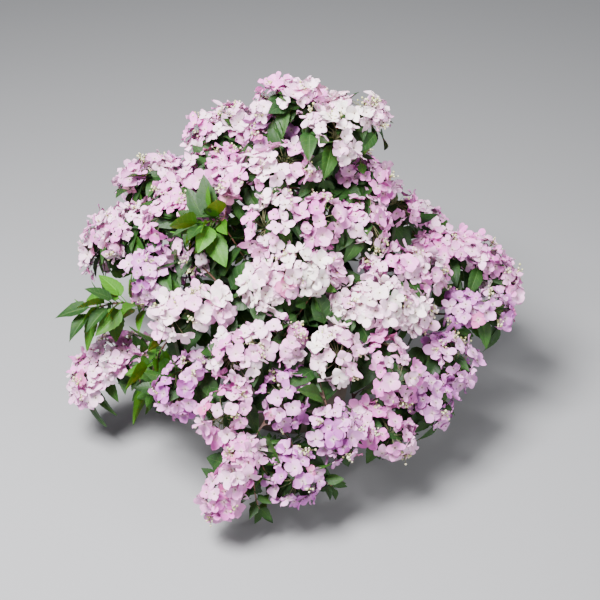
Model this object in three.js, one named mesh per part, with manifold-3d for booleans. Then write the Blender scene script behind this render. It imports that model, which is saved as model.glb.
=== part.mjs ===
// A garland hydrangea in a plain clay pot, in millimetres, +Z up, the origin at the middle of the pot's foot.
// Canes branch from short stools in the soil and arch outwards. Each arch carries a garland of four-petalled
// flowers, and the canes carry toothed leaves. The front of the plant faces -Y.
import * as THREE from "three";
import { mergeVertices } from "three/addons/utils/BufferGeometryUtils.js";
import Module from "manifold-3d";

const wasm = await Module();
wasm.setup();

// Driving dimensions of the pot and the soil.
const POT_HEIGHT = 330;
const POT_SIDES = 24;
const RIM_RADIUS = 200;
const RIM_DEPTH = 46;
const RIM_LIP = 12;
const RIM_ROUNDING = 4;
const FOOT_RADIUS = 142;
const WALL = 12;
const FLOOR = 16;
const DRAIN_RADIUS = 13;
const DRAIN_RING = 82;
const DRAIN_SIDES = 8;
const SOIL_BELOW_RIM = 26;
const SOIL_CROWN = 10;
const CLEARANCE = 0.4;

// Driving dimensions of the stools and the canes. The radii are those of the corners of a cross-section.
const STOOL_RADIUS = 15;
const STOOL_HEIGHT = 36;
const STOOL_TAPER = 3;
const STOOL_SIDES = 6;
const ROOT_DEPTH = 60;
const CANE_RADIUS = 5;
const TWIG_RADIUS = 2.6;
const FORK_SHARE = 0.8;
const SOCKET_SHARE = 0.6;

// Driving dimensions of the leaves. The fold and the droop are slopes.
const LEAF_LENGTH = 104;
const LEAF_WIDTH = 47;
const LEAF_FOLD = 0.24;
const LEAF_DROOP = 0.2;
const RIB_THICKNESS = 2.2;
const STALK_HALF_LENGTH = 1.6;

// Driving dimensions of the garlands. Levels run from 0 in the middle of a garland to 1 at its petals.
const ARCH = 0.24;
const FLORET_LENGTH = 68;
const FLORETS_ACROSS = 3;
const GARLAND_HALF_ANGLE = 106;
const GARLAND_HEIGHT = 50;
const GARLAND_LIFT = 12;
const GARLAND_END = 0.12;
const HEAD_SPACING = 98;
const HEAD_SWELL = 0.1;
const CORE_LEVEL = 0.52;
const EYE_LEVEL = 0.84;
const NOTCH_LEVEL = 0.84;
const PETAL_REACH = 0.8;
const PETAL_SHOULDER = 0.44;
const NOTCH_REACH = 0.52;

// How far the draws spread: a flower's height and tilt, the corners of the core, and a leaf's turn and size.
const HEIGHT_SPREAD = 0.08;
const TILT_SPREAD = 0.14;
const CORE_SPREAD = 0.1;
const YAW_SPREAD = 6;
const LENGTH_SPREAD = 0.14;
const WIDTH_SPREAD = 0.12;

// The stools stand in a ring round the middle of the pot.
const STOOLS = {
  crown: [0, 12],
  right: [95, 15],
  back_right: [78, 88],
  back: [0, 112],
  back_left: [-78, 88],
  left: [-95, 15],
  front_left: [-80, -72],
  front: [0, -98],
  front_right: [80, -72],
};

// The garlands of each stool. Each follows an arch between two places, and is that wide to each side.
const GARLANDS = {
  crown: {
    spire: { from: [60, 60, 825], to: [-55, 30, 795], width: 56, tint: "blush" },
    top_right: { from: [95, 60, 785], to: [205, 20, 775], width: 50, tint: "white" },
    top_fall: { from: [45, 10, 790], to: [120, -40, 730], width: 46, tint: "white" },
    crown_back: { from: [5, 65, 735], to: [-70, 45, 722], width: 56, tint: "mauve" },
    crown_row: { from: [65, -30, 680], to: [-135, -65, 645], width: 62, tint: "blush" },
    crown: { from: [-10, -95, 645], to: [-60, -160, 567], width: 66, tint: "blush" },
    crown_right: { from: [75, -80, 630], to: [60, -130, 570], width: 64, tint: "pink" },
  },
  right: {
    right_top: { from: [120, 10, 650], to: [215, 0, 615], width: 56, tint: "pink" },
    right_crown: { from: [146, -40, 597], to: [186, -95, 540], width: 60, tint: "blush" },
    right_shoulder: { from: [170, 60, 550], to: [280, 45, 510], width: 62, tint: "pink" },
    right_upper: { from: [310, 50, 415], to: [550, 10, 305], width: 60, tint: "pink" },
  },
  back_right: {
    back_right_top: { from: [135, 200, 545], to: [190, 300, 430], width: 64, tint: "blush" },
    back_middle_right: { from: [120, 350, 520], to: [190, 440, 350], width: 66, tint: "pink" },
    back_low_right: { from: [300, 310, 370], to: [380, 370, 190], width: 66, tint: "blush" },
    right_back: { from: [395, 160, 330], to: [495, 215, 190], width: 64, tint: "blush" },
  },
  back: {
    back_top: { from: [20, 150, 740], to: [70, 290, 620], width: 64, tint: "pink" },
    back_middle: { from: [-40, 360, 570], to: [-50, 460, 410], width: 66, tint: "white" },
    back_low: { from: [0, 430, 330], to: [20, 500, 130], width: 64, tint: "pink" },
  },
  back_left: {
    left_top: { from: [-290, 200, 550], to: [-410, 210, 500], width: 46, tint: "blush" },
    back_crown: { from: [-90, 205, 670], to: [-200, 335, 540], width: 64, tint: "blush" },
    back_left_high: { from: [-290, 300, 500], to: [-390, 370, 350], width: 64, tint: "mauve" },
    back_low_left: { from: [-190, 400, 370], to: [-260, 460, 190], width: 66, tint: "blush" },
    left_back: { from: [-400, 200, 420], to: [-500, 240, 240], width: 64, tint: "blush" },
  },
  left: {
    upper_left: { from: [-95, 132, 690], to: [-230, 142, 660], width: 54, tint: "blush" },
    upper_left_low: { from: [-85, 40, 645], to: [-230, 55, 600], width: 60, tint: "pink" },
    left_upper: { from: [-200, 100, 555], to: [-310, 105, 515], width: 62, tint: "pink" },
    left: { from: [-335, 95, 500], to: [-408, 60, 405], width: 60, tint: "blush" },
    left_inner: { from: [-160, -40, 565], to: [-320, -20, 525], width: 62, tint: "pink" },
  },
  front_left: {
    diagonal_low: { from: [-150, -245, 460], to: [-285, -260, 415], width: 60, tint: "white" },
    left_middle: { from: [-285, -60, 480], to: [-330, -120, 400], width: 62, tint: "mauve" },
    front_left_upper: { from: [15, -290, 410], to: [-155, -330, 370], width: 64, tint: "blush" },
    left_front: { from: [-205, -305, 350], to: [-245, -340, 255], width: 64, tint: "mauve" },
    middle_left: { from: [-102, -379, 323], to: [-161, -409, 244], width: 58, tint: "pink" },
    left_low: { from: [-345, -100, 225], to: [-505, -160, 130], width: 84, tint: "blush" },
  },
  front: {
    diagonal_high: { from: [95, -170, 510], to: [-90, -235, 480], width: 66, tint: "white" },
    middle: { from: [0, -345, 345], to: [-15, -395, 270], width: 60, tint: "mauve" },
    front_white: { from: [95, -280, 420], to: [105, -350, 340], width: 66, tint: "white" },
    low_mauve: { from: [85, -400, 295], to: [115, -430, 205], width: 64, tint: "mauve" },
    trail: { from: [-80, -448, 235], to: [-160, -492, 92], width: 48, tint: "pink" },
    low_front: { from: [15, -445, 215], to: [15, -475, 120], width: 68, tint: "mauve" },
  },
  front_right: {
    right_lower: { from: [385, -85, 330], to: [520, -80, 310], width: 56, tint: "mauve" },
    right_middle: { from: [175, -115, 465], to: [345, -65, 410], width: 52, tint: "blush" },
    front_band: { from: [90, -210, 440], to: [300, -155, 370], width: 62, tint: "white" },
    front_right: { from: [190, -265, 370], to: [240, -335, 270], width: 66, tint: "pink" },
    right_front: { from: [335, -175, 300], to: [395, -225, 230], width: 68, tint: "mauve" },
    low_right: { from: [155, -345, 230], to: [260, -375, 175], width: 62, tint: "pink" },
    right_low: { from: [260, -260, 250], to: [355, -300, 180], width: 62, tint: "mauve" },
  },
};

// Arches that carry leaves alone.
const SHOOTS = {
  left: {
    lime_crown: { from: [-150, -100, 600], to: [-215, -120, 590] },
  },
  front_left: {
    lime_left: { from: [-330, -130, 380], to: [-470, -130, 380] },
    lime_front: { from: [-245, -205, 380], to: [-320, -245, 240] },
  },
};

// Draws: the same number for the same seed, from 0 to 1, or from one half to the other side of nought.
const draw = (seed) => {
  const wave = Math.sin(seed * 12.9898 + 4.1) * 43758.5453;
  return wave - Math.floor(wave);
};
const spread = (seed, half) => (2 * draw(seed) - 1) * half;

// Solids and geometries.
function solidOf(geometry) {
  const bare = new THREE.BufferGeometry().setAttribute("position", geometry.getAttribute("position"));
  if (geometry.index) bare.setIndex(geometry.index);
  const merged = mergeVertices(bare, 1e-3);
  return new wasm.Manifold(
    new wasm.Mesh({
      numProp: 3,
      vertProperties: merged.attributes.position.array,
      triVerts: new Uint32Array(merged.index.array),
    }),
  );
}

function geometryOf(solid) {
  const mesh = solid.getMesh();
  return new THREE.BufferGeometry()
    .setAttribute("position", new THREE.BufferAttribute(mesh.vertProperties, 3))
    .setIndex(new THREE.BufferAttribute(mesh.triVerts, 1));
}

function meets(solid, others) {
  const box = solid.boundingBox();
  return others.some((other) => {
    const far = other.boundingBox();
    const apart = [0, 1, 2].some((axis) => box.max[axis] < far.min[axis] || far.max[axis] < box.min[axis]);
    return !apart && !solid.intersect(other).isEmpty();
  });
}

// A body turned about +Z from a profile of [radius, height] points.
function turned(profile, sides) {
  const points = profile.map(([radius, height]) => new THREE.Vector2(radius, height));
  return new THREE.LatheGeometry(points, sides).rotateX(Math.PI / 2);
}

// A plain clay pot: a tapered wall, a deeper rim band that stands out by a small lip, and three drain holes.
function pot() {
  const bandFoot = POT_HEIGHT - RIM_DEPTH;
  const underBand = FOOT_RADIUS + ((RIM_RADIUS - RIM_LIP - FOOT_RADIUS) * bandFoot) / POT_HEIGHT;
  const profile = [
    [0, 0],
    [FOOT_RADIUS, 0],
    [underBand, bandFoot],
    [RIM_RADIUS - RIM_ROUNDING, bandFoot + RIM_ROUNDING],
    [RIM_RADIUS, POT_HEIGHT - RIM_ROUNDING],
    [RIM_RADIUS - RIM_ROUNDING, POT_HEIGHT],
    [RIM_RADIUS - RIM_LIP - WALL, POT_HEIGHT],
    [FOOT_RADIUS - WALL, FLOOR],
    [0, FLOOR],
  ];
  let body = solidOf(turned(profile, POT_SIDES));
  for (const hole of [0, 1, 2]) {
    const angle = (hole * 2 * Math.PI) / 3;
    const drill = new THREE.CylinderGeometry(DRAIN_RADIUS, DRAIN_RADIUS, 4 * FLOOR, DRAIN_SIDES)
      .rotateX(Math.PI / 2)
      .translate(DRAIN_RING * Math.sin(angle), DRAIN_RING * Math.cos(angle), 0);
    body = body.subtract(solidOf(drill));
  }
  return geometryOf(body);
}

// The inner radius of the pot at a height above its foot.
function potInside(height) {
  const share = (height - FLOOR) / (POT_HEIGHT - FLOOR);
  return FOOT_RADIUS - WALL + share * (RIM_RADIUS - RIM_LIP - FOOT_RADIUS);
}

// Soil that fills the pot, a little crowned, with a plain hole for each stool.
const SOIL_TOP = POT_HEIGHT - SOIL_BELOW_RIM;
const soilHeight = (radius) => SOIL_TOP + SOIL_CROWN * (1 - radius / potInside(SOIL_TOP));

function soil() {
  const profile = [
    [0, FLOOR + CLEARANCE],
    [potInside(FLOOR) - CLEARANCE, FLOOR + CLEARANCE],
    [potInside(SOIL_TOP) - CLEARANCE, SOIL_TOP],
    [0, SOIL_TOP + SOIL_CROWN],
  ];
  let body = solidOf(turned(profile, POT_SIDES));
  for (const stool of Object.keys(STOOLS)) {
    const { x, y, z } = stoolFoot(stool);
    const radius = STOOL_RADIUS + 2 * CLEARANCE;
    const hole = new THREE.CylinderGeometry(radius, radius, 2 * ROOT_DEPTH, STOOL_SIDES)
      .rotateX(Math.PI / 2)
      .translate(x, y, z - CLEARANCE);
    body = body.subtract(solidOf(hole));
  }
  return geometryOf(body);
}

// The place where a stool comes out of the soil.
function stoolFoot(stool) {
  const [x, y] = STOOLS[stool];
  return new THREE.Vector3(x, y, soilHeight(Math.hypot(x, y)));
}

// The woody stump that a stool's canes branch from.
function stump(stool) {
  const profile = [
    [0, -ROOT_DEPTH],
    [STOOL_RADIUS - STOOL_TAPER, -ROOT_DEPTH],
    [STOOL_RADIUS, 0],
    [STOOL_RADIUS - STOOL_TAPER, STOOL_HEIGHT - 2 * STOOL_TAPER],
    [0, STOOL_HEIGHT],
  ];
  return turned(profile, STOOL_SIDES).translate(...stoolFoot(stool));
}

// The outward direction at a place: away from the heart of the plant and upwards, square to the way along.
const UP = new THREE.Vector3(0, 0, 1);
const HEART = new THREE.Vector3(0, 20, 330);
const OUTWARD_LIFT = 0.6;

function outwardAt(at, along) {
  const out = at.clone().sub(HEART).normalize().addScaledVector(UP, OUTWARD_LIFT);
  return out.addScaledVector(along, -out.dot(along)).normalize();
}

// The arch of a garland or a shoot, which rises outwards by a share of its span.
function archOf({ from, to }) {
  const [start, end] = [new THREE.Vector3(...from), new THREE.Vector3(...to)];
  const span = end.clone().sub(start);
  const middle = start.clone().lerp(end, 0.5);
  const out = outwardAt(middle, span.clone().normalize());
  return new THREE.QuadraticBezierCurve3(start, middle.addScaledVector(out, 2 * ARCH * span.length()), end);
}

// The place, the direction and the outward side of a curve at a share of its length.
function station(curve, share) {
  const at = curve.getPointAt(share);
  const along = curve.getTangentAt(share);
  const out = outwardAt(at, along);
  return { at, along, out, side: out.clone().cross(along) };
}

// The number of flower rows that fit along an arch.
const rowsOf = (curve) => Math.max(2, Math.round(curve.getLength() / FLORET_LENGTH));

// A garland: one closed skin over the outer side of its arch, laid out in cells. A low net of corners is its
// core, and each cell raises one flower: a tilted plate of four petals towards its corners, with notches
// between them. Heads of flowers swell along the arch, counted from its tip.
function garland(curve, width, seed) {
  const rows = rowsOf(curve);
  const length = curve.getLength();
  const half = THREE.MathUtils.degToRad(GARLAND_HALF_ANGLE);
  const points = [];
  const faces = [];
  const put = (row, column, level) => {
    const share = THREE.MathUtils.clamp(row / rows, 0, 1);
    const { at, out, side } = station(curve, share);
    const head = Math.cos(2 * Math.PI * (((1 - share) * length) / HEAD_SPACING - 0.5));
    const inset = Math.min(1, GARLAND_END + (1 - GARLAND_END) * Math.min(row, rows - row));
    const size = level * Math.sqrt(1 - (1 - inset) ** 2) * (1 - HEAD_SWELL + HEAD_SWELL * head);
    const angle = half * ((2 * column) / FLORETS_ACROSS - 1);
    at.addScaledVector(out, GARLAND_LIFT + size * GARLAND_HEIGHT * Math.cos(angle));
    return points.push(at.addScaledVector(side, size * width * Math.sin(angle))) - 1;
  };
  const grid = (rowCount, columnCount, place) =>
    Array.from({ length: rowCount }, (_, row) =>
      Array.from({ length: columnCount }, (_, column) => place(row, column)),
    );
  const core = grid(rows + 1, FLORETS_ACROSS + 1, (row, column) => {
    const loose = row % rows && column % FLORETS_ACROSS ? CORE_SPREAD : 0;
    const key = seed + 7 * row + column;
    return put(row + spread(key, loose), column + spread(key + 50, loose), CORE_LEVEL);
  });
  grid(rows, FLORETS_ACROSS, (row, column) => {
    const key = seed + 13 * row + 3 * column + 0.5;
    const height = 1 + spread(key, HEIGHT_SPREAD);
    const [pitch, roll] = [spread(key + 1, TILT_SPREAD), spread(key + 2, TILT_SPREAD)];
    const on = ([u, v], level) =>
      put(row + 0.5 + u / 2, column + 0.5 + v / 2, level * (height + pitch * u + roll * v));
    const eye = on([0, 0], EYE_LEVEL);
    const petals = [0, 1, 2, 3].map((k) => ({
      corner: core[row + (k === 1 || k === 2)][column + (k > 1)],
      first: on(quarterTurns([-PETAL_REACH, -PETAL_SHOULDER], k), 1),
      second: on(quarterTurns([-PETAL_SHOULDER, -PETAL_REACH], k), 1),
      notch: on(quarterTurns([0, -NOTCH_REACH], k), NOTCH_LEVEL),
    }));
    petals.forEach(({ corner, first, second, notch }, k) => {
      const [before, next] = [petals[(k + 3) % 4], petals[(k + 1) % 4]];
      faces.push([eye, before.notch, first], [eye, first, second], [eye, second, notch]);
      faces.push([second, first, corner], [notch, second, corner]);
      faces.push([corner, next.corner, notch], [next.first, notch, next.corner]);
    });
  });
  const last = FLORETS_ACROSS;
  for (let row = 0; row < rows; row++) {
    faces.push([core[row + 1][0], core[row][0], core[row][last]]);
    faces.push([core[row + 1][0], core[row][last], core[row + 1][last]]);
  }
  for (let column = 1; column < last; column++) {
    faces.push([core[0][0], core[0][column], core[0][column + 1]]);
    faces.push([core[rows][0], core[rows][column + 1], core[rows][column]]);
  }
  return new THREE.BufferGeometry().setFromPoints(points).setIndex(faces.flat());
}

// A point of a flower's cell turned about its middle by so many quarters.
function quarterTurns([u, v], quarters) {
  return quarters ? quarterTurns([-v, u], quarters - 1) : [u, v];
}

// A body that grows by loops of four points each, which run counter-clockwise as seen from the growing end.
// Any wall between two loops can be opened once, so that a branch or a leaf's stalk grows out of it.
class Growth {
  points = [];
  faces = [];
  walls = [];

  loop(corners) {
    return corners.map((corner) => this.points.push(corner) - 1);
  }

  patch([a, b, c, d]) {
    this.faces.push([a, b, c], [a, c, d]);
  }

  // The next loop is turned so that its corners come nearest to those it joins.
  align(loop, corners) {
    const gap = (turn, index, k) => this.points[index].distanceTo(corners[(k + turn) % 4]);
    const miss = (turn) => loop.reduce((sum, index, k) => sum + gap(turn, index, k), 0);
    const turn = [0, 1, 2, 3].reduce((best, next) => (miss(next) < miss(best) ? next : best));
    return this.loop(corners.map((_, k) => corners[(k + turn) % 4]));
  }

  // Returns the walls of the tube, four to each of its segments.
  tube(loop, rings, radii) {
    const segments = [];
    let last = loop;
    rings.forEach((ring, index) => {
      const next = this.align(last, cornersOf(ring, radii[index]));
      const corners = last.map((corner, k) => [corner, last[(k + 1) % 4], next[(k + 1) % 4], next[k]]);
      segments.push(corners.map((four) => ({ corners: four, opened: false })));
      last = next;
    });
    this.patch(last);
    this.walls.push(...segments.flat());
    return segments;
  }

  // Opens a wall at a share of its length: a small loop inside it, joined to its corners.
  socket(wall, share, halfLength) {
    wall.opened = true;
    const { centre, along, across, halfWidth } = wallFrame(this, wall, share);
    const [high, wide] = [along.multiplyScalar(halfLength), across.multiplyScalar(SOCKET_SHARE * halfWidth)];
    const place = (x, y) => centre.clone().addScaledVector(wide, x).addScaledVector(high, y);
    const loop = this.loop([place(-1, -1), place(1, -1), place(1, 1), place(-1, 1)]);
    loop.forEach((inner, k) => {
      const next = (k + 1) % 4;
      this.patch([wall.corners[k], wall.corners[next], loop[next], inner]);
    });
    return loop;
  }

  geometry() {
    this.walls.filter((wall) => !wall.opened).forEach(({ corners }) => this.patch(corners));
    this.walls = [];
    return new THREE.BufferGeometry().setFromPoints(this.points).setIndex(this.faces.flat());
  }
}

// The corners of a square cross-section, whose sides face along out and side.
function cornersOf({ at, out, side }, radius) {
  const half = radius * Math.SQRT1_2;
  const corner = (x, y) => at.clone().addScaledVector(side, x * half).addScaledVector(out, y * half);
  return [corner(1, 1), corner(-1, 1), corner(-1, -1), corner(1, -1)];
}

// The middle of a wall at a share of its length, and its directions.
function wallFrame({ points }, { corners }, share) {
  const [a, b, c, d] = corners.map((index) => points[index]);
  const [low, high] = [a.clone().lerp(b, 0.5), d.clone().lerp(c, 0.5)];
  const across = b.clone().lerp(c, share).sub(a.clone().lerp(d, share));
  const halfWidth = across.length() / 2;
  across.normalize();
  const along = high.clone().sub(low).normalize();
  const normal = across.clone().cross(along);
  return { centre: low.clone().lerp(high, share), along, across, halfWidth, normal };
}

// The ways a cane may rise from its fork to its arch, in shares of the distance between them: how high it
// rises, how early it turns into the arch, and how far it swings aside. The first clear way is taken.
const BENDS = [
  { rise: 0.4, lead: 0.35, swing: 0 },
  { rise: 0.5, lead: 0.25, swing: 0.12 },
  { rise: 0.5, lead: 0.25, swing: -0.12 },
  { rise: 0.3, lead: 0.3, swing: 0.2 },
  { rise: 0.3, lead: 0.3, swing: -0.2 },
  { rise: 0.15, lead: 0.4, swing: 0 },
  { rise: 0.65, lead: 0.2, swing: 0 },
  { rise: 0.3, lead: 0.15, swing: 0.35 },
  { rise: 0.3, lead: 0.15, swing: -0.35 },
  { rise: 0.1, lead: 0.15, swing: 0.1 },
];
const FORK_THROW = 0.25;
const RISER_RINGS = [0.15, 0.6];
const TIP_SHARE = 0.98;

// The rings of a cane from its fork to just short of its arch's end.
function ringsOf(foot, normal, curve, { rise, lead, swing }) {
  const start = curve.getPoint(0);
  const heading = start.clone().sub(foot).setZ(0).normalize();
  const reach = start.distanceTo(foot);
  const sideways = heading.clone().cross(UP).multiplyScalar(swing * reach);
  const rising = foot.clone().addScaledVector(UP, rise * reach).addScaledVector(normal, FORK_THROW * reach);
  const joining = start.clone().addScaledVector(curve.getTangent(0), -lead * reach);
  const riser = new THREE.CubicBezierCurve3(foot, rising.add(sideways), joining.add(sideways), start);
  const rows = rowsOf(curve);
  const rings = RISER_RINGS.map((share) => station(riser, share));
  for (let row = 0; row <= rows; row++) rings.push(station(curve, (TIP_SHARE * row) / rows));
  return rings;
}

// A cane tapers evenly from ring to ring, from its foot's radius to a twig's.
const taper = (radius, share) => THREE.MathUtils.lerp(radius, TWIG_RADIUS, share);
const radiiOf = (rings, radius) => rings.map((_, ring) => taper(radius, (ring + 1) / rings.length));

// A stand-in for a cane, wider by a margin, to test for room. It starts at the foot, or at the first ring.
function roomFor(rings, radius, margin, foot) {
  const body = new Growth();
  const radii = radiiOf(rings, radius).map((each) => each + margin);
  const start = foot ? { ...rings[0], at: foot } : rings[0];
  const first = body.loop(cornersOf(start, radii[0]));
  body.patch([...first].reverse());
  body.tube(first, foot ? rings : rings.slice(1), foot ? radii : radii.slice(1));
  return solidOf(body.geometry());
}

// A leaf on its stalk, folded up along the rib and drooping towards its tip, with saw teeth along both edges.
// The outline gives shares of its length and of its width, from the end of the stalk to the last notch.
const LEAF_OUTLINE = [
  [0.2, 0.04],
  [0.4, 0.5],
  [0.46, 0.41],
  [0.68, 0.37],
  [0.72, 0.27],
];
const RIB_SHARES = [0.2, 0.5];

function growLeaf(body, loop, { root, forward, up, length, width, thickness }) {
  const side = up.clone().cross(forward).normalize();
  const top = forward.clone().cross(side).normalize();
  const place = (along, across, height) => {
    const rise = height + LEAF_FOLD * Math.abs(across) - (LEAF_DROOP * along * along) / length;
    const onBlade = root.clone().addScaledVector(forward, along).addScaledVector(side, across);
    return onBlade.addScaledVector(top, rise);
  };
  const edge = (sign) => LEAF_OUTLINE.map(([x, y]) => place(x * length, sign * y * width, 0));
  const rib = (sign) => RIB_SHARES.map((x) => place(x * length, 0, sign * thickness * (1 - x)));
  const [left, above, right, below] = [edge(1), rib(1), edge(-1), rib(-1)];
  const stalk = body.align(loop, [left[0], above[0], right[0], below[0]]);
  loop.forEach((index, k) => body.patch([index, loop[(k + 1) % 4], stalk[(k + 1) % 4], stalk[k]]));
  const tip = body.points.push(place(length, 0, 0)) - 1;
  const turn = stalk.findIndex((index) => body.points[index] === left[0]);
  const edgeShares = LEAF_OUTLINE.map(([x]) => x);
  const chains = [left, above, right, below].map((points, k) => ({
    points: [stalk[(turn + k) % 4], ...points.slice(1).map((point) => body.points.push(point) - 1), tip],
    shares: [...(k % 2 ? RIB_SHARES : edgeShares), 1],
  }));
  chains.forEach((first, k) => zip(body, first, chains[(k + 1) % 4]));
}

// Fills the strip between two chains of points that end at the same tip, stepping along whichever is behind.
function zip(body, first, second) {
  let [i, j] = [0, 0];
  while (i < first.points.length - 1 || j < second.points.length - 1) {
    const [a, b] = [first.points[i], second.points[j]];
    const stepFirst = j === second.points.length - 1 || first.shares[i + 1] < second.shares[j + 1];
    const next = stepFirst ? first.points[++i] : second.points[++j];
    if (new Set([a, b, next]).size === 3) body.faces.push([a, b, next]);
  }
}

// A stand-in for a leaf, grown from a small loop at its root.
function roomForLeaf(place) {
  const body = new Growth();
  const side = place.up.clone().cross(place.forward).normalize();
  const loop = body.loop(cornersOf({ at: place.root, out: place.up, side }, STALK_HALF_LENGTH));
  body.patch([...loop].reverse());
  growLeaf(body, loop, place);
  return solidOf(body.geometry());
}

// The ways a leaf may stand, in degrees: turned forward along its cane by the yaw and down by the droop.
const LEAF_POSES = [
  { yaw: 35, droop: 14 },
  { yaw: 20, droop: 32 },
  { yaw: 50, droop: 40 },
  { yaw: 5, droop: 55 },
  { yaw: -15, droop: 24 },
];

function leafPlace({ centre, along, normal }, { yaw, droop }, seed) {
  const turn = THREE.MathUtils.degToRad(yaw + spread(seed, YAW_SPREAD));
  const fall = THREE.MathUtils.degToRad(droop);
  const upward = along.clone().cross(normal);
  if (upward.z < 0) upward.negate();
  const level = normal.clone().multiplyScalar(Math.cos(turn)).addScaledVector(along, Math.sin(turn));
  return {
    root: centre,
    forward: level.clone().multiplyScalar(Math.cos(fall)).addScaledVector(upward, -Math.sin(fall)),
    up: upward.multiplyScalar(Math.cos(fall)).addScaledVector(level, Math.sin(fall)),
    length: LEAF_LENGTH * (1 + spread(seed + 1, LENGTH_SPREAD)),
    width: LEAF_WIDTH * (1 + spread(seed + 2, WIDTH_SPREAD)),
    thickness: RIB_THICKNESS,
  };
}

const clay = new THREE.MeshStandardMaterial({ color: 0x6b5f57, roughness: 0.85, metalness: 0 });
const compost = new THREE.MeshStandardMaterial({ color: 0x2b211c, roughness: 1, metalness: 0 });
const greenery = new THREE.MeshStandardMaterial({ color: 0x4f7a2c, roughness: 0.6, metalness: 0 });
const TINTS = {
  white: new THREE.MeshStandardMaterial({ color: 0xf1e4ea, roughness: 0.7, metalness: 0 }),
  blush: new THREE.MeshStandardMaterial({ color: 0xe9c9e0, roughness: 0.7, metalness: 0 }),
  pink: new THREE.MeshStandardMaterial({ color: 0xe0b0d4, roughness: 0.7, metalness: 0 }),
  mauve: new THREE.MeshStandardMaterial({ color: 0xc79ccb, roughness: 0.7, metalness: 0 }),
};

const plant = new THREE.Group();
const add = (name, geometry, material) => {
  const mesh = new THREE.Mesh(geometry, material);
  mesh.name = name;
  plant.add(mesh);
};

add("pot", pot(), clay);
add("soil", soil(), compost);

// Each arch with its name, its stool, its curve and a seed. A garland has a width and a tint, a shoot has none.
const arches = [GARLANDS, SHOOTS].flatMap((table) =>
  Object.entries(table).flatMap(([stool, rows]) =>
    Object.entries(rows).map(([name, row]) => ({ name, stool, curve: archOf(row), ...row })),
  ),
);
arches.forEach((row, index) => (row.seed = 100 * index));
const flowering = arches.filter(({ width }) => width);
for (const row of flowering) {
  row.flowers = garland(row.curve, row.width, row.seed);
  add(`flowers_${row.name}`, row.flowers, TINTS[row.tint]);
}

// The canes of a stool grow as one body. The first rises from the stump, and each further one forks from the
// nearest free wall, of an earlier cane below its arch, that faces the way it has to go.
const FORK_SEGMENTS = [1, 2];
const FACING = 0.25;
const groups = Object.keys(STOOLS).map((stool) => {
  const body = new Growth();
  const foot = stoolFoot(stool).addScaledVector(UP, 0.5 * STOOL_HEIGHT);
  const base = { at: foot, out: new THREE.Vector3(0, 1, 0), side: new THREE.Vector3(1, 0, 0) };
  const root = body.loop(cornersOf(base, CANE_RADIUS));
  body.patch([...root].reverse());
  const trunk = { centre: foot, normal: new THREE.Vector3(), radius: CANE_RADIUS };
  return { stool, body, root, trunk, forks: [] };
});

function originsFor(curve, { body, trunk, forks }) {
  if (!forks.length) return [trunk];
  const start = curve.getPoint(0);
  const facing = ({ centre, normal }) => start.clone().sub(centre).normalize().dot(normal) > FACING;
  return forks
    .filter(({ wall }) => !wall.opened)
    .map((fork) => ({ ...fork, ...wallFrame(body, fork.wall, 0.5) }))
    .filter(facing)
    .sort((a, b) => a.centre.distanceTo(start) - b.centre.distanceTo(start));
}

// A clear way keeps off the pot, the flowers and the canes of other stools from its foot on, and off the canes
// of its own stool from its first ring on.
const STRANGER_MARGIN = 1;
const SIBLING_MARGIN = 1.5;
const CANE_MARGIN = 0.5;
const fixed = [solidOf(pot()), ...flowering.map(({ flowers }) => solidOf(flowers))];
const canes = [];

function clearWay({ name, curve }, group) {
  const roomsOf = (own) => canes.filter(({ stool }) => (stool === group.stool) === own).map(({ room }) => room);
  const [siblings, strangers] = [roomsOf(true), [...fixed, ...roomsOf(false)]];
  for (const origin of originsFor(curve, group))
    for (const bend of BENDS) {
      const rings = ringsOf(origin.centre, origin.normal, curve, bend);
      const whole = roomFor(rings, origin.radius, STRANGER_MARGIN, origin.centre);
      const beyondFork = roomFor(rings, origin.radius, SIBLING_MARGIN);
      if (!meets(whole, strangers) && !meets(beyondFork, siblings)) return { origin, rings };
    }
  throw new Error(`${name} has no clear way`);
}

for (const group of groups)
  for (const member of arches.filter(({ stool }) => stool === group.stool)) {
    const { origin, rings } = clearWay(member, group);
    const { body, forks, root } = group;
    const loop = origin.wall ? body.socket(origin.wall, 0.5, FORK_SHARE * origin.radius) : root;
    const segments = body.tube(loop, rings, radiiOf(rings, origin.radius));
    canes.push({ ...member, body, segments, room: roomFor(rings, origin.radius, CANE_MARGIN, origin.centre) });
    for (const segment of FORK_SEGMENTS) {
      const radius = FORK_SHARE * taper(origin.radius, segment / rings.length);
      forks.push(...segments[segment].map((wall) => ({ wall, radius })));
    }
  }

// A pair of leaves stands below each garland, and a shoot has crossed pairs all along its arch. Each leaf takes
// the first pose that stands clear of everything, or is left off.
const PAIR_SHARE = 0.7;
const CROSSED_SHARES = [0.3, 0.8];
const LEAF_ROOM = 1.05;
const STALK_CLEAR = 14;
const FIRST_OF_ARCH = RISER_RINGS.length;
const leaves = [];

function leafRoots(segments, flowered) {
  if (flowered) return [1, 3].map((side) => ({ segment: FIRST_OF_ARCH, share: PAIR_SHARE, side }));
  const crossed = (segment) => [0, 1, 2, 3].map((side) => ({ segment, share: CROSSED_SHARES[side % 2], side }));
  return [...segments.keys()].slice(FIRST_OF_ARCH + 1).flatMap(crossed);
}

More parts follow.
